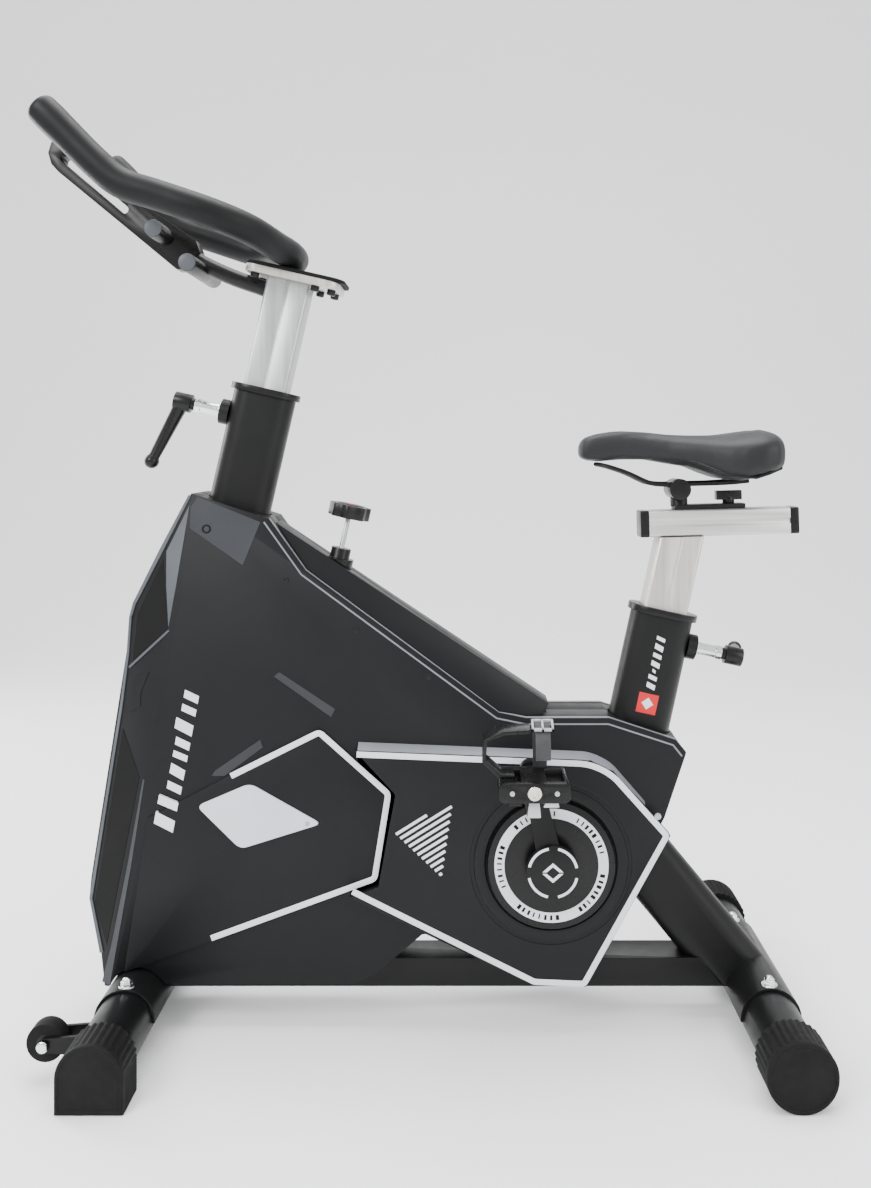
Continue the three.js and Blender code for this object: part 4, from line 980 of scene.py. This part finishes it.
pedalLook = {"left": (93.37, 391.51), "right": (156.63, 108.49), "outer": 206, "buckleTilt": 0.35,
             "cleats": ((-10, 9, -36, -13.5), (12, 34, -22, -13.5), (-36, -16, -20, -13.5)),
             "buckle": ((-0.015, 0.015, -0.012, -0.009), (-0.015, 0.015, 0.009, 0.012),
                        (-0.015, -0.0118, -0.012, 0.012), (0.0118, 0.015, -0.012, 0.012),
                        (-0.0015, 0.0015, -0.012, 0.012))}
for side, label in bothSides:
    px, pz = pedalLook[label]
    body = label + "_pedal"
    refine("pedal_" + label, "glossBlack", 0.0016)
    refine("toe_cage_" + label, "glossBlack", 0.0008)
    refine("toe_strap_" + label, "strapWebbing", 0.0005, 40)
    turned("pedalCap_" + label, spot(px, side * 205.6, pz), (0, side, 0),
           [(0, 9.5), (1.6, 9.5), (2.4, 8.6), (2.4, 5.4), (1.2, 5.0)], "brass", body, sides=32)
    turned("pedalBoss_" + label, spot(px, side * 205.4, pz), (0, side, 0),
           [(0, 12.6), (0.9, 12.6), (1.2, 12)], "frameBlack", body, sides=36)
    for dx in (-30, 30):
        screwHead(f"pedalScrew_{label}{dx}", px + dx, pedalLook["outer"], pz, side, 3.4, "steel", body, 1.0)
    for index, (x0, x1, z0, z1) in enumerate(pedalLook["cleats"]):
        prism(f"cleat_{label}{index}", [(px + x0, pz + z0), (px + x1, pz + z0), (px + x1 - 2, pz + z1),
                                        (px + x0 + 3, pz + z1)],
              side * 196, side * 132, "steel" if index < 2 else "glossBlack", body, 0.0012)
    for index in range(4):
        x = px - 44 + index * 6
        prism(f"pedalTread_{label}{index}", [(x, pz + 12.4), (x + 3, pz + 12.4), (x + 2.4, pz + 14.2),
                                             (x + 0.6, pz + 14.2)],
              side * 194, side * 186, "glossBlack", body)
    strapLow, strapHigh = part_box("toe_strap_" + label)
    strapTop, strapX = strapHigh.z, (strapLow.x + strapHigh.x) / 2
    middleY = (strapLow.y + strapHigh.y) / 2 + side * 0.014
    tilt = -side * pedalLook["buckleTilt"]
    bars = []
    for x0, x1, y0, y1 in pedalLook["buckle"]:
        corners = [(x0, y0), (x1, y0), (x1, y1), (x0, y1)]
        vertices = [(strapX + x, middleY + y, strapTop - 0.004 + tilt * y) for x, y in corners]
        vertices += [(x, y, z + 0.003) for x, y, z in vertices]
        faces = [(0, 1, 2, 3), (4, 5, 6, 7), (0, 1, 5, 4), (1, 2, 6, 5), (2, 3, 7, 6), (3, 0, 4, 7)]
        bars.append(shapeObject("buckleBar", vertices, faces, "steel", body))
    joined("buckle_" + label, bars)
print("pedals ready")

refine("brake_knob", "glossBlack", 0.0016)
brakeLean = math.radians(12.4)
brakeUp = Vector((math.sin(brakeLean), 0, math.cos(brakeLean)))
knobTop = jointSpot("resistance_turn")
top = max((vertex.co.dot(brakeUp) for vertex in nodes["brake_knob"].data.vertices))
centre = knobTop + brakeUp * (top - knobTop.dot(brakeUp))
turned("knobDisc", centre - brakeUp * 0.0006, brakeUp, [(0, 20), (1.0, 20), (1.5, 19), (1.5, 2)],
       "frameBlack", "resistance_knob", sides=40)
turned("knobDot", centre + brakeUp * 0.0004, brakeUp, [(0, 5), (0.9, 5), (1.2, 4.2)], "markRed",
       "resistance_knob", sides=28)
lever = {"low": 60.6, "z": -38}
levers = (("front", -303, 933, 12.9, -1, "front_lever"), ("seat", 299, 600, 12.4, 1, "seat_lever"))
for name, x0, z0, lean, way, body in levers:
    turn = math.radians(lean)
    outward = Vector((math.cos(turn), 0, -math.sin(turn))) * way
    root = spot(x0 + lever["z"] * math.sin(turn), 0, z0 + lever["z"] * math.cos(turn))
    turned(name + "Sleeve", root + outward * lever["low"] / 1000, outward,
           [(0, 9.8), (8, 9.8), (8.4, 9.3), (30, 9.3), (30.4, 10.6), (39, 10.6)], "chrome", body, sides=32)
    turned(name + "Washer", root + outward * lever["low"] / 1000, outward,
           [(0, 13), (1.6, 13), (2.1, 12), (2.1, 9)], "chrome", body, sides=32)
print("details ready")

stageLook = {"floor": 9.0, "front": -6.0, "back": 5.0, "high": 7.0, "bend": 2.5, "worldLight": 1.35,
             "colour": (0.93, 0.935, 0.94), "rough": 0.6, "lens": 33.45, "shift": (-0.0247, -0.1213),
             "away": -1.677, "eye": 0.85}


def backdropPaint():
    material, tree, shader, coords = startMaterial("backdropPaint")
    mist = noise(tree, coords, 0.8, 3)
    darker = tuple(value * 0.985 for value in stageLook["colour"])
    link(tree, blendColours(tree, spread(tree, mist, 0, 1), stageLook["colour"], darker),
         shader.inputs["Base Color"])
    shader.inputs["Roughness"].default_value = stageLook["rough"]
    return material


def backdrop():  # floor that bends up into a wall
    wide, front, back, high, bend = (stageLook[key] for key in ("floor", "front", "back", "high", "bend"))
    profile = [(front, 0.0)] + [(back - bend + bend * math.sin(t), bend - bend * math.cos(t))
                                for t in (math.pi / 2 * step / 12 for step in range(13))] + [(back, high)]
    vertices = [(x, y, z) for y, z in profile for x in (-wide, wide)]
    faces = [(2 * i, 2 * i + 1, 2 * i + 3, 2 * i + 2) for i in range(len(profile) - 1)]
    mesh = bpy.data.meshes.new("backdrop")
    mesh.from_pydata(vertices, [], faces)
    mesh.materials.append(backdropPaint())
    piece = addObject("backdrop", mesh)
    smoothByAngle(mesh, 60)


backdrop()


def softbox(name, place, aim, size, power):
    light = bpy.data.lights.new(name, "AREA")
    light.shape = "RECTANGLE"
    light.size, light.size_y = size
    light.energy = power
    lamp = addObject(name, light)
    lamp.location = place
    lamp.rotation_euler = (Vector(aim) - Vector(place)).to_track_quat("-Z", "Y").to_euler()


softbox("keyLight", (-1.9, -2.4, 2.6), (0, 0, 0.65), (1.6, 1.6), 120)
softbox("fillLight", (2.6, -1.8, 1.7), (0, 0, 0.6), (1.6, 2.0), 50)
softbox("topLight", (0.0, 0.3, 3.4), (0, 0, 0.4), (2.6, 2.0), 150)
softbox("rimLight", (-2.4, 1.3, 1.3), (0, 0, 0.8), (0.8, 2.2), 60)

world = bpy.data.worlds.new("studio")
world.use_nodes = True
world.node_tree.nodes["Background"].inputs["Color"].default_value = (1, 1, 1, 1)
world.node_tree.nodes["Background"].inputs["Strength"].default_value = stageLook["worldLight"]
bpy.context.scene.world = world

viewer = bpy.data.cameras.new("viewer")
viewer.sensor_width = 36
viewer.lens = stageLook["lens"]
viewer.shift_x, viewer.shift_y = stageLook["shift"]
camera = addObject("viewer", viewer)
camera.location = (bikeStart, stageLook["away"], stageLook["eye"])
camera.rotation_euler = (math.radians(90), 0, 0)
bpy.context.scene.camera = camera
